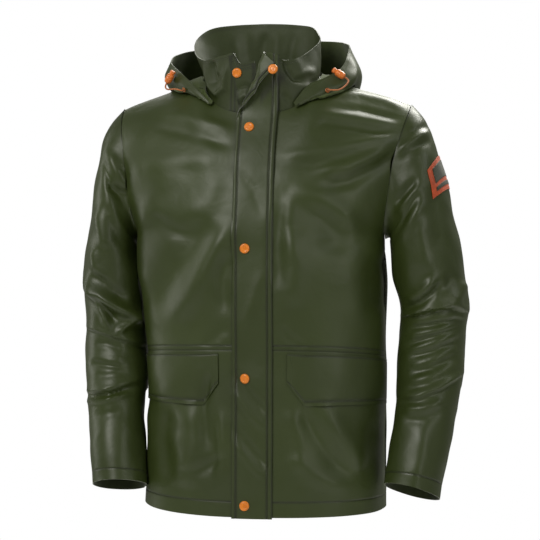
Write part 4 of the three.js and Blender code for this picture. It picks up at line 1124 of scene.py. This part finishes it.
# Profiles of (radius, height), as shares of the lock's own sizes and in millimetres for the eyelet
LOCK_PROFILE = [(0.3, 0), (0.56, 0.005), (0.68, 0.03), (0.72, 0.07), (0.72, 0.18), (0.66, 0.22), (0.54, 0.26),
                (0.62, 0.29), (0.86, 0.33), (0.96, 0.37), (1, 0.45), (1, 0.5), (0.94, 0.52), (0.94, 0.56),
                (1, 0.58), (1, 0.7), (0.96, 0.8), (0.86, 0.9), (0.7, 0.965), (0.48, 0.995), (0.3, 1)]
EYELET_PROFILE = [(EYELET_HOLE, 0), (EYELET_RADIUS, 0), (EYELET_RADIUS, 0.35), (EYELET_RADIUS * 0.95, 0.9),
                  (EYELET_RADIUS * 0.85, 1.25), (3.2, EYELET_HEIGHT), (2.7, 1.28), (EYELET_HOLE, 0.95),
                  (EYELET_HOLE, 0)]


def spline(points, count):
    points = np.array(points, float)
    knots = np.concatenate([[0], np.cumsum(np.linalg.norm(np.diff(points, axis=0), axis=-1) ** 0.5)])
    return curve_through(knots, points[:, None], np.linspace(0, knots[-1], count))


for name in ("left", "right"):
    path = spline(CORD_ROUTES[name], CORD_STEPS)
    strand = tube(f"cord_{name}", path, CORD_RADIUS, cord_braid)
    end, way = (np.array(v, float) for v in LOCK_ENDS[name])
    way = unit(way)
    base = end - way * (LOCK_LENGTH + LOCK_GAP)
    lock_profile = [(radius * LOCK_RADIUS, height * LOCK_LENGTH) for radius, height in LOCK_PROFILE]
    lock = turned(f"lock_{name}", lock_profile, base, way, lock_orange)
    seat, normal = (np.array(v, float) for v in EYELET_SEATS[name])
    ring = turned(f"ring_{name}", EYELET_PROFILE, seat + unit(normal) * LAY_GAP, normal, eyelet_paint)
    for piece, node, slot_name in (
        (lock, "cord_lock", "cord_lock"),
        (ring, "eyelet", "eyelet"),
        (strand, "hood_cord", "cord"),
    ):
        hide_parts(f"{node}_{name}")

# Fronts, skirts and back

POCKET_SEAM_LINE = POCKET_SEAM - 8
HEM_LINE = HEM - 25
SHOULDER_LINE = 6
ARMHOLE_LINE = 0.985
EDGE_ROW = 3
GROOVE_DEPTH = 0.55
GROOVE_WIDTH = 1.1
ROLL_DEPTH = 0.7
ROLL_WIDTH = 2.2
# Near the armhole the cloth dips, by its distance across from it and by rows from the shoulder seam
ARMHOLE_DIP = 1.2
ARMHOLE_DIP_WIDTH = 12
ARMHOLE_DIP_END = (5, 40)
PANEL_REACH = 300
# Columns stand closer next to the side and on both sides of the neck corner
OUTER_COLUMNS = 0.9
NECK_COLUMNS = 0.004
LINE_START = 0.1
# Below the corner between neck and shoulder seams the cloth is eased over this share and these rows
EASE_PASSES = 26
EASE_SHARE = 0.17
EASE_ROWS = (2, 40)


def seam_roll(distance):
    """The cloth rolls down towards a sewn edge."""
    return -ROLL_DEPTH * np.exp(-np.abs(distance) / ROLL_WIDTH)


def groove(distance):
    return -GROOVE_DEPTH * bell(distance, GROOVE_WIDTH)


def eased_columns(surface):
    eased = surface.p.copy()
    for _ in range(EASE_PASSES):
        eased[1:-1] = (eased[:-2] + 2 * eased[1:-1] + eased[2:]) / 4
    near = bell((np.abs(surface.a) - NECK_SHARE)[:, None], EASE_SHARE) * smooth(*EASE_ROWS, surface.b)[None]
    return mix(surface.p, eased, near[..., None])


def lift_panel(surface, table, sewn_rows, stitched_rows):
    """Creases, grooves and lines of painted shade on a front, skirt or back."""
    height = surface.creases(table) + waves(surface.p)
    across, down = np.abs(surface.a)[:, None], surface.b[None]
    for row in stitched_rows:
        height = height + groove(down - row)
        surface.paint_shade(down - row)
    for row in sewn_rows:
        height = height + seam_roll(down - row)
        surface.paint_shade(down - row, depth=EDGE_SHADE, width=1.3)
    if surface.b[0] == 0:
        from_armhole = (across.max() - across) * PANEL_REACH
        fade = 1 - smooth(*ARMHOLE_DIP_END, down)
        height = height - ARMHOLE_DIP * bell(from_armhole, ARMHOLE_DIP_WIDTH) * fade
        # Painted shade along the shoulder seam and the top edge
        surface.paint_shade(np.where(across > NECK_SHARE, down - SHOULDER_LINE, np.inf), depth=EDGE_SHADE)
        surface.paint_shade(down, depth=EDGE_SHADE, width=1.4)
    surface.lift(height)
    surface.move_to(eased_columns(surface))


def part_panels(surface, front, outer_share):
    """Half a seam gap between front and back, below the armhole and along the shoulder."""
    shift = SEAM_GAP / 2 * (-1 if front else 1)
    below_armhole = (surface.b >= ARMHOLE_END)[None] & (outer_share == 1)[:, None]
    surface.p[..., 1] += np.where(below_armhole, shift, 0)
    if surface.b[0] == 0:
        surface.p[:, 0, 1] += np.where(outer_share >= NECK_SHARE, shift, 0)


def seam_normals(side, column, rows, shoulder):
    """At the side seam and the shoulder seam the wall is cut square to the seam."""

    def set_normals(n):
        n[column, rows >= ARMHOLE_END] = (side, 0, 0)
        if shoulder is not None:
            across = (side * -SHOULDER[2], 0, SHOULDER[0] - NECK_HALF_WIDTH)
            n[shoulder, 0] = unit(np.array(across, float))

    return set_normals


def top_lines(side):
    """Stitches along the shoulder seam and the armhole."""
    return [(side * np.linspace(NECK_SHARE, 1, 20), SHOULDER_LINE),
            (side * ARMHOLE_LINE, np.linspace(10, ARMHOLE_END - 6, 30))]


panel_shares = np.unique(np.concatenate([
    np.linspace(CENTRE_SHARE, OUTER_COLUMNS, 56),
    np.linspace(OUTER_COLUMNS, 1, 14),
    NECK_SHARE + NECK_COLUMNS * np.array([-1, 0, 1]),
]))
upper_rows = stops(0, POCKET_SEAM - SEAM_GAP / 2, 4.6, [POCKET_SEAM_LINE, EDGE_ROW, ARMHOLE_END - EDGE_ROW])
skirt_rows = stops(POCKET_SEAM + SEAM_GAP / 2, HEM, 4.6, [POCKET_SEAM + 2, HEM_LINE])
back_rows = stops(0, HEM, 4.8, [EDGE_ROW, HEM_LINE])

for name, side in (("left", 1), ("right", -1)):
    for kind, rows, line in (("front", upper_rows, POCKET_SEAM_LINE), ("skirt", skirt_rows, HEM_LINE)):
        surface = Surface(panel_shares, rows, lambda u, s, side=side: body_point(True, side, u, s), -side)
        part_panels(surface, True, panel_shares)
        lift_panel(surface, FRONT_CREASES, [POCKET_SEAM], [line])
        lines = [(np.linspace(LINE_START, 1, 30), line)]
        shoulder = None
        if kind == "front":
            lines += top_lines(1)
            shoulder = panel_shares >= NECK_SHARE
        sewn(f"{kind}_{name}", surface, cloth, backing, lines, seam_normals(side, -1, rows, shoulder))

back_across = np.concatenate([-panel_shares[:0:-1], [0], panel_shares[1:]])
back_surface = Surface(back_across, back_rows,
                       lambda u, s: body_point(False, np.where(u < 0, -1.0, 1.0), np.abs(u), s), 1)
part_panels(back_surface, False, np.abs(back_across))
lift_panel(back_surface, BACK_CREASES, [], [HEM_LINE])


def back_normals(n):
    for side, column in ((-1, 0), (1, -1)):
        seam_normals(side, column, back_rows, side * back_across >= NECK_SHARE)(n)


back_lines = [(np.linspace(-1, 1, 60), HEM_LINE), *top_lines(-1), *top_lines(1)]
sewn("back", back_surface, cloth, backing, back_lines, back_normals)

# Sleeves

CUFF = 640
CUFF_LINE = 618
SLEEVE_COLUMNS = 128
WAVES_START = 40
# The creases of the front fade into those of the back where the cloth faces sideways
FACING = (-0.25, 0.3)
CAP_FACING = (0.05, 0.6)
CAP_ROW = 18
CAP_WIDTH = 20
arounds = np.arange(SLEEVE_COLUMNS) / SLEEVE_COLUMNS
sleeve_rows = stops(0, CUFF, 2.9, [EDGE_ROW, CUFF_LINE])


def sleeve_surface(side, sections, front_tables, back_tables, cap_rise):
    surface = Surface(arounds, sleeve_rows, lambda a, s: sleeve_point(side, sections, a, s), side, True)
    facing_front = smooth(*FACING, -surface.n[..., 1])
    facing_back = smooth(*FACING, surface.n[..., 1]) * (1 - facing_front)
    height = waves(surface.p, fineness=1.25, strength=1.2) * smooth(0, WAVES_START, surface.b)[None]
    height = height + groove(surface.b - CUFF_LINE)[None]
    for (creases, steps), facing in ((front_tables, facing_front), (back_tables, facing_back)):
        height = height + (surface.creases(creases) + surface.creases(steps, True)) * facing
    over_cap = smooth(*CAP_FACING, surface.n[..., 2]) * bell(surface.b - CAP_ROW, CAP_WIDTH)[None]
    height = height + cap_rise * over_cap
    # Painted shade along the cuff's stitched line and round the armhole
    surface.paint_shade(surface.b[None] - CUFF_LINE)
    surface.paint_shade(surface.b[None], depth=0.5, width=1.8)
    surface.lift(height)
    points = surface.p.reshape(-1, 3)
    free = points[:, 2] < SLEEVE_FREE_Z
    points[free] = clear_of_body(points[free], BODY_CLEAR)
    surface.move_to(points.reshape(surface.p.shape))
    return surface


def add_sleeve(name, surface):
    middle = (surface.p[0, 0] + surface.p[SLEEVE_COLUMNS // 2, 0]) / 2

    def armhole_normals(n):
        n[:, 0] = unit((surface.p[:, 0] - middle) * (0, 1, 1))

    lines = [(np.linspace(0, arounds[-1], 60), CUFF_LINE)]
    sewn(f"sleeve_{name}", surface, sleeve_cloth, backing, lines, armhole_normals)


left_sleeve = sleeve_surface(1, SLEEVE_LEFT_SECTIONS, (SLEEVE_LEFT_FRONT, SLEEVE_LEFT_FRONT_STEPS),
                             (SLEEVE_LEFT_BACK, SLEEVE_LEFT_BACK_STEPS), cap_rise=4)
add_sleeve("left", left_sleeve)
right_sleeve = sleeve_surface(-1, SLEEVE_RIGHT_SECTIONS, (SLEEVE_RIGHT_FRONT, SLEEVE_RIGHT_FRONT_STEPS),
                              (SLEEVE_RIGHT_BACK, SLEEVE_RIGHT_BACK_STEPS), cap_rise=1.5)
add_sleeve("right", right_sleeve)

# Collar

COLLAR_TURN = 0.998
COLLAR_RIM_LINE = 0.93
COLLAR_END_LINES = (-0.868, -0.893, 0.9)
COLLAR_REACH = 305
COLLAR_DEPTH = 100
COLLAR_FACING = (-0.1, 0.4)
COLLAR_FOOT = 0.25
surface = Surface(np.linspace(-COLLAR_TURN, COLLAR_TURN, 380), stops(0, 1, 0.03), collar_point, -1)
facing_front = smooth(*COLLAR_FACING, -surface.n[..., 1])
height = surface.creases(COLLAR_FRONT) * facing_front + surface.creases(COLLAR_BACK) * (1 - facing_front)
height = height + waves(surface.p, fineness=1.6, strength=0.9)
height = height * smooth(0, COLLAR_FOOT, surface.b)[None]
# Painted shade along the rim's stitched line and the lines at the collar's ends
surface.paint_shade((surface.b[None] - COLLAR_RIM_LINE) * COLLAR_DEPTH, depth=EDGE_SHADE)
for line in COLLAR_END_LINES:
    distance = (surface.a - line)[:, None] * COLLAR_REACH
    height = height + groove(distance)
    surface.paint_shade(distance)
surface.lift(height)
# Painted shadow of the folded flap corner on the collar
surface.shade = surface.shade * (1 - surface.creases(CORNER_SHADE) * (surface.a > 0)[:, None])
sewn("collar", surface, shaded_collar_cloth, shaded_collar_backing,
     [(np.linspace(-0.99, 0.99, 120), COLLAR_RIM_LINE)], edge=edge_highlight)

# Hood

HOOD_RIM_LINE = 0.94
HOOD_RIM_ENDS = (-0.72, 0.775)
HOOD_CROWDING = 1.15
HOOD_FACING = (0.2, 0.7)
HOOD_FOOT = 0.3
hood_turns = np.linspace(HOOD_SECTIONS[0][0], HOOD_SECTIONS[-1][0], 150)
surface = Surface(hood_turns, np.linspace(0, 1, 56) ** HOOD_CROWDING, hood_point, -1)
height = waves(surface.p, fineness=1.5, strength=1.1) * smooth(0, HOOD_FOOT, surface.b)[None]
surface.lift(height + surface.creases(HOOD_CREASES) * smooth(*HOOD_FACING, surface.n[..., 1]))
sewn("hood", surface, hood_cloth, lit_hood_backing, [(np.linspace(*HOOD_RIM_ENDS, 120), HOOD_RIM_LINE)])

# Storm flap

FLAP_WIDE = FLAP_SEAM_X - FLAP_FREE_X
FLAP_SEAM_LINE = 8.8
FLAP_FREE_LINE = FLAP_WIDE - 7.2
FLAP_END_LINE = FLAP_TOP_S + 6
# Depth of the painted shade along the flap's lines and seam edge
FLAP_SHADE = 0.7
# Between each line and its edge the cloth bulges: middle and width
FLAP_BULGES = ((FLAP_SEAM_LINE / 2, 3.6), (FLAP_WIDE - 3.6, 3.0))
FLAP_BULGE = 1.2
FOLD_FADE_S = 10
FOLD_END_S = 60
FLAP_GROOVE = 1.6
# Where the painted shadow of the folded corner falls on the flap
CORNER_SHADE_SHARE = 0.45
CORNER_SHADE_TOP = -80


def flap_x(share, s):
    free = mix(FLAP_TOP_FREE_X, FLAP_FREE_X, smooth(FLAP_TOP_S, FLAP_TAPER_END, s))
    return mix(FLAP_SEAM_X, free, share)


def flap_grid_point(share, s):
    point = storm_flap_point(flap_x(share, s), s)
    point[:, 2] -= FLAP_HANG * (s >= HEM)
    return point


flap_shares = stops(0, FLAP_WIDE, 2.6, [1.5, FLAP_SEAM_LINE, FLAP_WIDE - 1.5, FLAP_FREE_LINE],
                    NEXT_TO_FLAP_LINE) / FLAP_WIDE
flap_rows = np.concatenate([np.linspace(FLAP_TOP_S, FOLD_END_S, 80)[:-1],
                            stops(FOLD_END_S, HEM, 4.5, [HEM_LINE])])
flap_surface = Surface(flap_shares, flap_rows, flap_grid_point, 1)
from_seam = (flap_surface.a * FLAP_WIDE)[:, None]
height = flap_surface.creases(FRONT_CREASES) + waves(flap_surface.p)
height = height * smooth(FOLD_FADE_S, FOLD_END_S, flap_rows)[None]
# Grooves along the stitched lines, with painted shade
for line in (FLAP_SEAM_LINE, FLAP_FREE_LINE):
    height = height + FLAP_GROOVE * groove(from_seam - line)
    flap_surface.paint_shade(from_seam - line, depth=FLAP_SHADE, width=1.9)
for middle, width in FLAP_BULGES:
    height = height + FLAP_BULGE * bell(from_seam - middle, width)
# Painted shade along both edges of the flap
flap_surface.paint_shade(from_seam, depth=FLAP_SHADE, width=1.8)
flap_surface.paint_shade(FLAP_WIDE - from_seam, depth=0.4, width=1.2)
flap_surface.lift(height)
# Painted shadow of the folded corner on the flat part of the flap
near_seam = (flap_surface.a < CORNER_SHADE_SHARE)[:, None] * (flap_surface.b > CORNER_SHADE_TOP)[None]
flap_surface.shade = flap_surface.shade * (1 - flap_surface.creases(CORNER_SHADE) * near_seam)
flap_long = np.linspace(FLAP_END_LINE, HEM - 3, 200)
flap_across = np.linspace(FLAP_SEAM_LINE, FLAP_FREE_LINE, 20) / FLAP_WIDE
sewn("storm_flap", flap_surface, flap_cloth, flap_cloth,
     [(flap_across[-1], flap_long), (flap_across[0], flap_long), (flap_across, FLAP_END_LINE)], edge=edge_highlight)

# Chin tab under the storm flap

TAB_WIDE = 40
TAB_LONG = TAB_END_S - TAB_TOP_S
TAB_SIDE_LINES = (0.12, 0.88)
TAB_TOP_LINE = 0.035
TAB_SIDE_SHADES = (0, 0.1, 0.9, 1)


def tab_point(a, b):
    s = mix(TAB_TOP_S, TAB_END_S, b)
    free = mix(TAB_TOP_X, TAB_FOOT_X, smooth(TAB_TOP_S, 0, s))
    return laid_front(mix(TAB_INNER_X, free, a), s, TAB_LAY + WALL)[0]


surface = Surface(np.linspace(0, 1, 22), np.linspace(0, 1, 70), tab_point, 1)
# Painted shade along the tab's edges and stitched lines
for share in TAB_SIDE_SHADES:
    surface.paint_shade((surface.a - share)[:, None] * TAB_WIDE)
for share in (0, TAB_TOP_LINE):
    surface.paint_shade((surface.b - share)[None] * TAB_LONG)
surface.lift(surface.creases(TAB_CREASES))
tab_long = np.linspace(0.03, 0.97, 60)
sewn("under_flap", surface, shaded_collar_cloth, flap_cloth,
     [*((line, tab_long) for line in TAB_SIDE_LINES), (np.linspace(*TAB_SIDE_LINES, 12), TAB_TOP_LINE)],
     edge=edge_highlight)

# Pocket flaps

POCKET_FLAP_DEPTH = 80
POCKET_LINES = (3, 73)
POCKET_LINE_INSET = 0.02
POCKET_BELLY = 1.6
POCKET_BELLY_ROUNDING = 0.6


def share_at_x(side, x, s):
    """The share across the front at which the body reaches x, found by halving."""
    low, high = np.array([0.0]), np.array([1.0])
    for _ in range(HALVINGS):
        middle = (low + high) / 2
        short = body_point(True, side, middle, s)[0, 0] * side < x
        low, high = (middle, high) if short else (low, middle)
    return float(low[0])


def add_pocket_flap(name, side):
    start = POCKET_SEAM + POCKET_FLAP_START
    inner = share_at_x(side, POCKET_FLAP_INNER_X, start)
    corner = share_at_x(side, POCKET_FLAP_CORNER_X, start)
    outer = POCKET_FLAP_SIDE_SHARE

    def pocket_point(u, b):
        slant = mix(POCKET_FLAP_INNER_DEPTH, POCKET_FLAP_CORNER_DEPTH, (u - inner) / (corner - inner))
        level = mix(POCKET_FLAP_CORNER_DEPTH, POCKET_FLAP_SIDE_DEPTH, (u - corner) / (outer - corner))
        s = start + np.where(u < corner, slant, level) * b
        point = body_point(True, side, u, s)
        beside = body_point(True, side, np.minimum(u + NEAR_SHARE, 1), s)
        across = beside - body_point(True, side, u - NEAR_SHARE, s)
        down = body_point(True, side, u, s + NEAR) - body_point(True, side, u, s - NEAR)
        return point + unit(np.cross(down, across)) * side * (POCKET_LAY + WALL)

    shares = np.concatenate([np.linspace(inner, corner, 10)[:-1], np.linspace(corner, outer, 44)])
    downs = stops(0, POCKET_FLAP_DEPTH, 3.2, POCKET_LINES, NEXT_TO_POCKET_LINE) / POCKET_FLAP_DEPTH
    surface = Surface(shares, downs, pocket_point, -side)
    height = surface.creases(FRONT_CREASES) + waves(surface.p)
    # Grooves along the stitched lines, with painted shade
    for line in POCKET_LINES:
        distance = (surface.b * POCKET_FLAP_DEPTH - line)[None]
        height = height + groove(distance)
        surface.paint_shade(distance)
    across = np.sin(math.pi * np.clip((surface.a - inner) / (outer - inner), 0, 1)) ** POCKET_BELLY_ROUNDING
    down = np.sin(math.pi * np.clip(surface.b, 0, 1))
    surface.lift(height + POCKET_BELLY * across[:, None] * down[None])
    top, foot = (line / POCKET_FLAP_DEPTH for line in POCKET_LINES)
    sewn(f"pocket_flap_{name}", surface, flap_cloth, flap_cloth, [
        (np.linspace(inner, outer, 40), top),
        (np.linspace(inner + POCKET_LINE_INSET, outer, 80), foot),
        (inner + POCKET_LINE_INSET, np.linspace(top, foot, 20)),
    ])


add_pocket_flap("left", 1)
add_pocket_flap("right", -1)

# Snaps: two at the neck and four down the storm flap

SNAP_PROFILE = [(0.2, 0), (1, 0), (1, 0.25), (0.985, 0.45), (0.93, 0.68), (0.85, 0.84), (0.76, 0.95),
                (0.66, 1), (0.58, 0.98), (0.53, 0.88), (0.48, 0.8), (0.36, 0.82), (0.2, 0.84)]
TAB_SNAP = (-34.0, -70.0)
CORNER_SNAP_ALONG = 99
CORNER_SNAP_BEYOND = 35
CORNER_STEP = 3
FLAP_SNAP_X = -12
FLAP_SNAP_ROWS = (31, 268, 491, 697)


def add_snap(number, seat, normal):
    profile = [(radius * SNAP_RADIUS, height * SNAP_HEIGHT) for radius, height in SNAP_PROFILE]
    piece = turned(f"cap_{number}", profile, seat + normal * LAY_GAP, normal, snap_orange, 48)
    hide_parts(f"snap_{number}")


def corner_seat():
    """Seat and normal of the snap on the folded corner."""
    x = FOLD_FOOT[0] + fold_way[0] * CORNER_SNAP_ALONG + fold_way[1] * CORNER_SNAP_BEYOND
    s = FOLD_FOOT[1] + fold_way[1] * CORNER_SNAP_ALONG - fold_way[0] * CORNER_SNAP_BEYOND
    steps = np.array([(0, 0), (1, 0), (-1, 0), (0, 1), (0, -1)]) * CORNER_STEP
    middle, right, left, below, above = storm_flap_point(x + steps[:, 0], s + steps[:, 1])
    normal = unit(np.cross(right - left, below - above))
    normal = normal if normal[1] < 0 else -normal
    return middle + normal * WALL, normal


seats, normals = laid_front(np.array(TAB_SNAP[:1]), np.array(TAB_SNAP[1:]), [TAB_LAY + WALL])
add_snap(1, seats[0], normals[0])
add_snap(2, *corner_seat())
for number, row in enumerate(FLAP_SNAP_ROWS, 3):
    share = (FLAP_SEAM_X - FLAP_SNAP_X) / (FLAP_SEAM_X - flap_x(1.0, row))
    seats, normals = flap_surface.at([share], [row])
    add_snap(number, seats[0], normals[0])

# Plain patch on the wearer's left sleeve: a frame, a block and a bar

PATCH_AROUND = (-0.07, 0.145)
PATCH_ROWS = (82, 138)
PATCH_BLOCK_LAY = 0.75
PATCH_BLOCK_SIDES = (0.12, 0.88)
PATCH_BLOCK_WALL = 0.0005


def patch_point(a, b):
    p, n = left_sleeve.at(mix(*PATCH_AROUND, a) % 1, mix(*PATCH_ROWS, b))
    return p + n * (PATCH_LAY + PATCH_WALL)


def block_point(a, b):
    p, n = patch_surface.at(a, b)
    return p + n * PATCH_BLOCK_LAY


patch_surface = Surface(np.linspace(0, 1, 40), np.linspace(0, 1, 30), patch_point, 1)
patch_piece = shell("sleeve_patch", patch_surface, PATCH_WALL, patch_cloth, patch_cloth)
frame_line = (np.array([0.04, 0.96, 0.96, 0.04, 0.04]), np.array([0.05, 0.05, 0.95, 0.95, 0.05]))
on_patch = [stitching("stitches_patch", patch_surface, [frame_line], patch_cloth, fine=0.7)]
for name, low, high, rows in (("patch_block", 0.14, 0.62, 16), ("patch_bar", 0.74, 0.86, 8)):
    block = Surface(np.linspace(*PATCH_BLOCK_SIDES, 30), np.linspace(low, high, rows), block_point, 1)
    starts = [i * rows + j for i in range(len(block.a) - 1) for j in range(rows - 1)]
    faces = [(k, k + rows, k + rows + 1, k + 1) for k in starts]
    dark = mesh_piece(name, block.p.reshape(-1, 3), faces, [patch_dark])
    thick = dark.modifiers.new("woven_layer", "SOLIDIFY")
    thick.thickness = PATCH_BLOCK_WALL
    thick.offset = -1
    on_patch.append(dark)
declare_sheet(patch_surface, on_patch)

# Floor, background and lamps

FLOOR_Z = -1.45
FLOOR_HALF = 2.4
floor_corners = [(x * FLOOR_HALF, y * FLOOR_HALF, FLOOR_Z) for x, y in ((-1, -1), (1, -1), (1, 1), (-1, 1))]
floor_mesh = bpy.data.meshes.new("floor")
floor_mesh.from_pydata(floor_corners, [], [(0, 1, 2, 3)])
floor_paint = Paint("floor")
floor_paint.shader.inputs["Base Color"].default_value = (0.86, 0.86, 0.85, 1)
floor_paint.shader.inputs["Roughness"].default_value = 0.9
floor_mesh.materials.append(floor_paint.material)
floor = bpy.data.objects.new("floor", floor_mesh)
bpy.context.scene.collection.objects.link(floor)

world = bpy.data.worlds.new("studio")
bpy.context.scene.world = world
world.use_nodes = True
nodes, links = world.node_tree.nodes, world.node_tree.links
glow = next(node for node in nodes if node.type == "BACKGROUND")
output = next(node for node in nodes if node.type == "OUTPUT_WORLD")
seen = nodes.new("ShaderNodeBackground")
for background, colour, strength in ((seen, (1, 1, 1, 1), 1.0), (glow, (1.0, 0.995, 0.9, 1), 0.2)):
    background.inputs["Color"].default_value = colour
    background.inputs["Strength"].default_value = strength
ray = nodes.new("ShaderNodeLightPath")
chosen = nodes.new("ShaderNodeMixShader")
links.new(ray.outputs["Is Camera Ray"], chosen.inputs["Fac"])
links.new(glow.outputs["Background"], chosen.inputs[1])
links.new(seen.outputs["Background"], chosen.inputs[2])
links.new(chosen.outputs["Shader"], output.inputs["Surface"])

WARM_WHITE = (1.0, 0.99, 0.92)
# Lamps: name, place, target, width and height in metres, power in watts and colour
LAMPS = [
    ("front_fill", (-1.3, -2.7, 1.5), (0, 0, -0.35), 1.3, 1.6, 52, WARM_WHITE),
    ("front_right", (2.2, -2.3, 0.4), (0, 0, -0.4), 0.6, 2.2, 12, WARM_WHITE),
    ("top_right", (0.8, 1.2, 1.4), (0.16, 0, -0.05), 1.2, 1.0, 50, WARM_WHITE),
    ("collar_right", (1.5, -0.5, 0.75), (0.1, -0.03, 0.03), 0.4, 0.5, 2, (1, 1, 1)),
    ("side_left", (-2.4, 0.2, 0.2), (0, 0, -0.4), 0.6, 2.2, 12, WARM_WHITE),
    ("back_top", (-0.4, 2.2, 1.4), (0, 0, -0.2), 1.8, 1.2, 20, WARM_WHITE),
]
for name, place, target, width, height, power, colour in LAMPS:
    data = bpy.data.lights.new(name, "AREA")
    data.shape = "RECTANGLE"
    data.size, data.size_y = width, height
    data.energy = power
    data.color = colour
    lamp = bpy.data.objects.new(name, data)
    lamp.location = place
    lamp.rotation_euler = (Vector(target) - Vector(place)).to_track_quat("-Z", "Y").to_euler()
    bpy.context.scene.collection.objects.link(lamp)

bpy.context.scene.view_settings.view_transform = "Standard"
bpy.context.scene.view_settings.look = "None"
